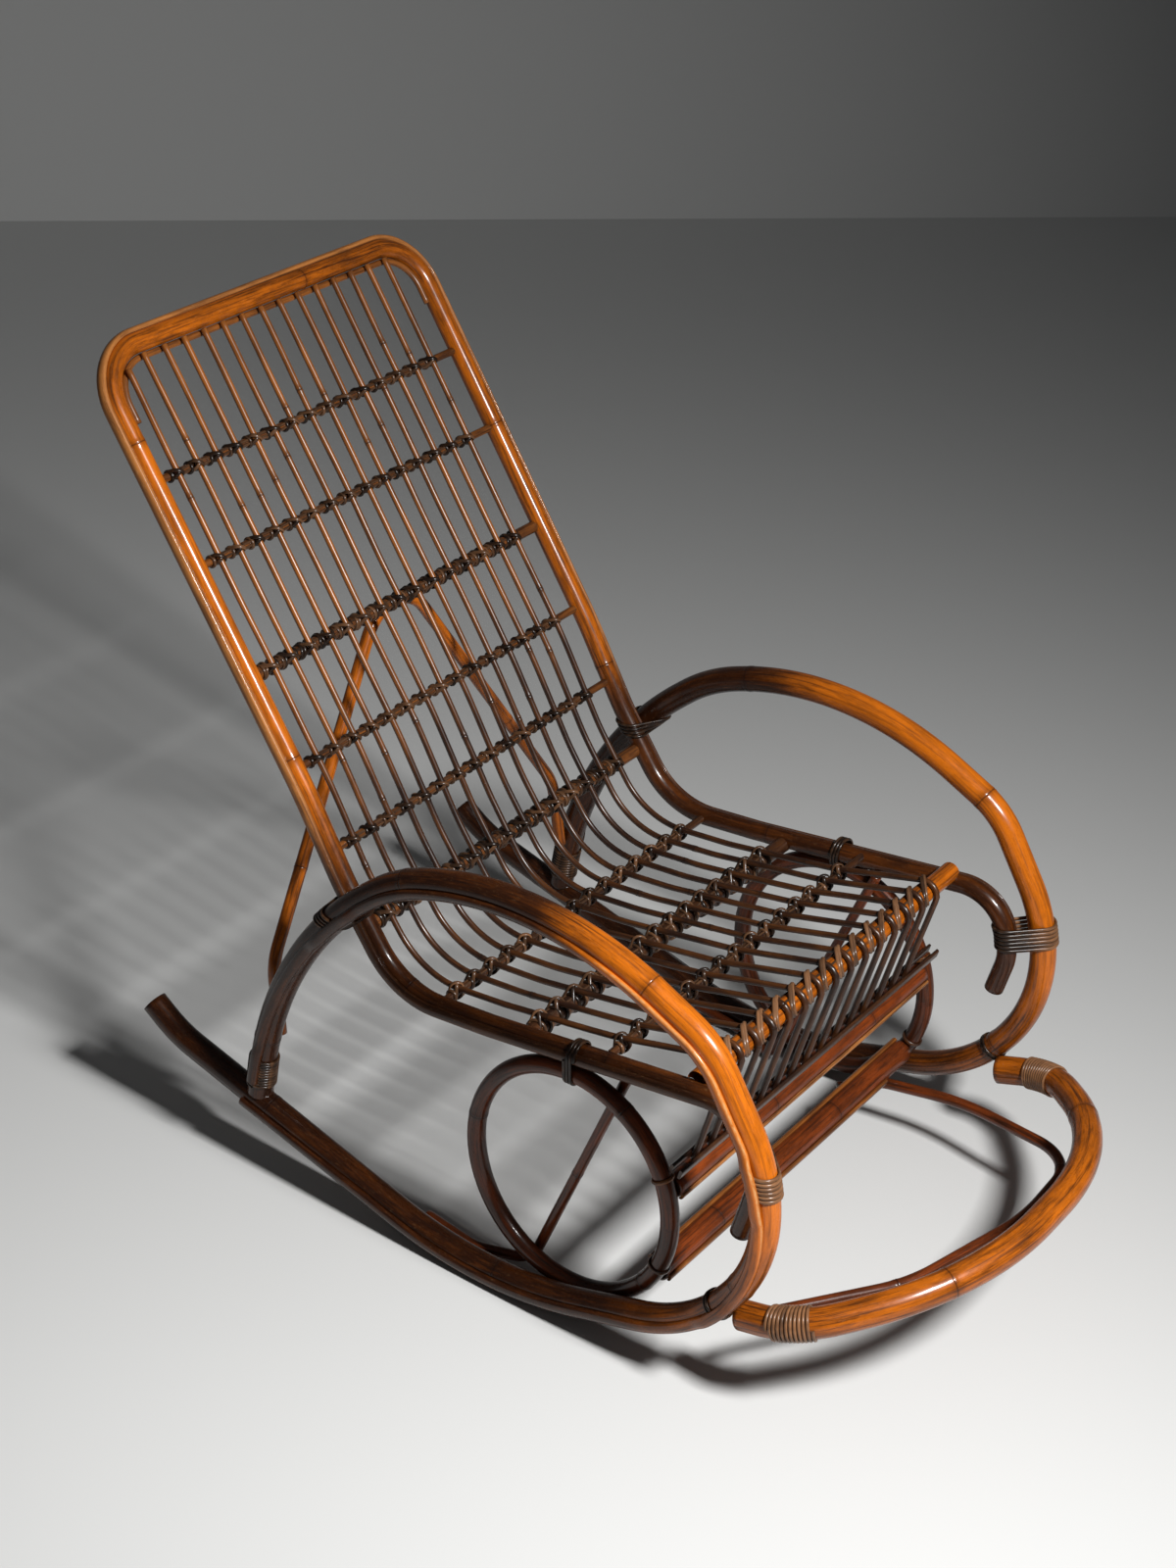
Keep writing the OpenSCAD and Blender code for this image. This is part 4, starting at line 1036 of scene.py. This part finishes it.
# Wound cane: turns along one pole, from start
def wound(shape, p, start, pitch, turns, d, size, tone, seed):
    far = lengths(p)
    points, outs = [], []
    for i in range(turns * WOUND_STEPS + 1):
        s, a = start + pitch * i / WOUND_STEPS, 2 * pi * i / WOUND_STEPS
        way = (at_length(p, far, s + 8) - at_length(p, far, s - 8)).normalized()
        m = square_to(Vector((1, 0, 0.1)), way)
        out = m * cos(a) + way.cross(m) * sin(a)
        points.append(at_length(p, far, s) + out * (d / 2 + 0.1))
        outs.append(out)
    strip(shape, points, outs, band(*size),
          lambda q: tone + 0.15 * sin(q.z * 1.9 + q.y * 2.3), seed, dark_ends=0.3)


def pair_wound(shape, axis, at, turns, pitch, poles, radii, size, seed, dark_x=330):
    # Turns round two poles side by side, stepping along y or z (axis 1 or 2) as they go. The
    # cane is darker nearer to the chair's middle than dark_x.
    points, outs = [], []
    for i in range(turns * PAIR_STEPS + 1):
        h = at + pitch * (i / PAIR_STEPS - turns / 2)
        ovals = []
        for p, r in zip(poles, radii):
            q, slope = passes(p, axis, h)[0]
            ovals.append((q.x, q.y, r, r / abs(sin(slope))) if axis == 2 else
                         (q.x, q.z, r, r / cos(slope)))
        spot, out = loop_round(ovals, PAIR_STEPS)[i % PAIR_STEPS]
        points.append(Vector((spot.x, spot.y, h) if axis == 2 else (spot.x, h, spot.y)))
        outs.append(Vector((out.x, out.y, 0) if axis == 2 else (out.x, 0, out.y)))
    strip(shape, points, outs, band(*size),
          lambda q: 0.25 + 0.65 * ease(dark_x - q.x, 0, 25) + 0.1 * sin(q.z * 1.7 + q.y), seed)


leg_way = smooth([list(foot_top), side_corners[8], side_corners[7]])
shape = Shape()
for sign, seed in ((1, 91), (-1, 92)):
    shape.side = sign
    wound(shape, leg_way, FOOT_START, TURN_PITCH, FOOT_TURNS, SIDE_D, WRAP_BAND, 0.7, seed)
shape.make("foot_cane_wraps", tie_cane, "foot_wraps")

# The footrest's turns are spaced along the inside of its bend
half_loop = smooth([[-c[0]] + c[1:] for c in loop_corners[:3]])
wrap_r = LOOP_D / 2 + TIE_D / 2 + SEAT_GAP
loop_pitch = LOOP_SPAN * TURN_PITCH / (1 - wrap_r / LOOP_LINE[1][2]) / LOOP_TURNS
shape = Shape()
for sign, seed in ((1, 93), (-1, 94)):
    shape.side = sign
    wound(shape, half_loop, LOOP_START, loop_pitch, LOOP_TURNS, LOOP_D, WRAP_BAND, 0.15, seed)
shape.make("footrest_cane_wraps", tie_cane, "footrest_wraps")

seat_curl = smooth(back_side[:4])
lash_pitch = TURN_PITCH * FRONT_TURNS / (FRONT_TURNS - 1)
shape = Shape()
for sign, seed in ((1, 95), (-1, 96)):
    shape.side = sign
    pair_wound(shape, 2, FRONT_LASH_Z, FRONT_TURNS - 1, lash_pitch, [side_route, seat_curl],
               [SIDE_D / 2 + 0.5, BACK_D / 2 + 0.5], LASH_BAND, seed, 292)
shape.make("front_cane_lashings", tie_cane, "front_lashings")
shape = Shape()
for sign, seed in ((1, 97), (-1, 98)):
    shape.side = sign
    pair_wound(shape, 2, CROSSING_Z, BACK_TURNS, TURN_PITCH, [rear_leg, half_frame],
               [SIDE_D / 2 + 0.8, BACK_D / 2 + 0.5], WRAP_BAND, seed)
shape.make("back_cane_lashings", tie_cane, "back_lashings")

nearest = min(range(len(curl_way)), key=lambda k: (curl_way[k] - curl_band).length)
band_start = lengths(curl_way)[nearest] - BAND_TURNS * TURN_PITCH / 2
shape = Shape()
for sign, seed in ((1, 99), (-1, 89)):
    shape.side = sign
    wound(shape, curl_way, band_start, TURN_PITCH, BAND_TURNS, SIDE_D, CURL_BAND, 0.85, seed)
shape.make("curl_cane_bands", tie_cane, "curl_bands")

strip_side = (BACK_STRIP_T + SEAT_GAP) / 2
ring_top = [q for q in ring_line if q.z > ring_middle_z + RING_TOP_PART]
rail_line = [q + Vector((strip_side, 0, 0)) for q in half_frame]
shape = Shape()
for sign, seed in ((1, 87), (-1, 88)):
    shape.side = sign
    pair_wound(shape, 1, RING_Y, RING_TURNS, TURN_PITCH, [ring_top, rail_line],
               [RING_D / 2 + 0.3, BACK_D / 2 + strip_side + 0.6], RING_BAND, seed)
shape.make("ring_cane_ties", tie_cane, "ring_ties")


# A plain pale floor and wall
def sheet(name, corners, colour, rough, shine):
    net = Net("pale_" + name)
    shader = net.node("ShaderNodeBsdfPrincipled", {
        "Base Color": colour, "Roughness": rough, "Specular IOR Level": shine})
    net.node("ShaderNodeOutputMaterial", {0: shader.outputs[0]})
    mesh = bpy.data.meshes.new(name)
    mesh.from_pydata(corners, [], [(0, 1, 2, 3)])
    mesh.materials.append(net.material)
    item = bpy.data.objects.new(name, mesh)
    bpy.context.scene.collection.objects.link(item)


FLOOR_HALF, WALL_BEYOND, WALL_HEIGHT = 12, 12, Vector((0, 0, 6))
floor_corners = [
    (x * FLOOR_HALF, y * FLOOR_HALF, 0) for x, y in ((-1, -1), (1, -1), (1, 1), (-1, 1))]
sheet("floor", floor_corners, (0.60, 0.60, 0.59, 1), 0.75, 0.2)
near_foot, far_foot = Vector((1.88, 3.14, 0)), Vector((3.75, 1.07, 0))
along_wall = (far_foot - near_foot).normalized() * WALL_BEYOND
wall_ends = [near_foot - along_wall, far_foot + along_wall]
sheet("wall", wall_ends + [wall_ends[1] + WALL_HEIGHT, wall_ends[0] + WALL_HEIGHT],
      (0.62, 0.62, 0.61, 1), 0.9, 0.1)

# Light and camera
LAMP_PLACE, LAMP_AIM = Vector((-0.45, -1.75, 2.10)), Vector((-0.9, 0.3, 0))
lamp = bpy.data.lights.new("key", "AREA")
lamp.shape = "RECTANGLE"
lamp.size = lamp.size_y = 0.36
lamp.energy = 56
lamp.spread = radians(125)
key = bpy.data.objects.new("key", lamp)
key.location = LAMP_PLACE
key.rotation_euler = (LAMP_AIM - LAMP_PLACE).to_track_quat("-Z", "Y").to_euler()
bpy.context.scene.collection.objects.link(key)
world = bpy.data.worlds.new("studio")
world.use_nodes = True
background = world.node_tree.nodes["Background"]
background.inputs["Color"].default_value = (0.90, 0.93, 0.96, 1)
background.inputs["Strength"].default_value = 0.06
bpy.context.scene.world = world

# The camera looks this far round from the chair's back, downward, and rolled
AZ, EL, ROLL = radians(54.487), radians(30.366), radians(1.938)
fwd = Vector((sin(AZ) * cos(EL), cos(AZ) * cos(EL), -sin(EL)))
right = Vector((cos(AZ), -sin(AZ), 0))
up = right.cross(fwd)
x_way = right * cos(ROLL) + up * sin(ROLL)
y_way = up * cos(ROLL) - right * sin(ROLL)
camera = bpy.data.objects.new("camera", bpy.data.cameras.new("camera"))
camera.data.sensor_fit = "VERTICAL"
camera.data.sensor_height = 36
camera.data.lens = 61.87
camera.matrix_world = Matrix.Translation((-2.1914, -1.4881, 2.0647)) @ Matrix(
    (x_way, y_way, -fwd)).transposed().to_4x4()
bpy.context.scene.collection.objects.link(camera)
bpy.context.scene.camera = camera
bpy.context.scene.view_settings.view_transform = "Standard"
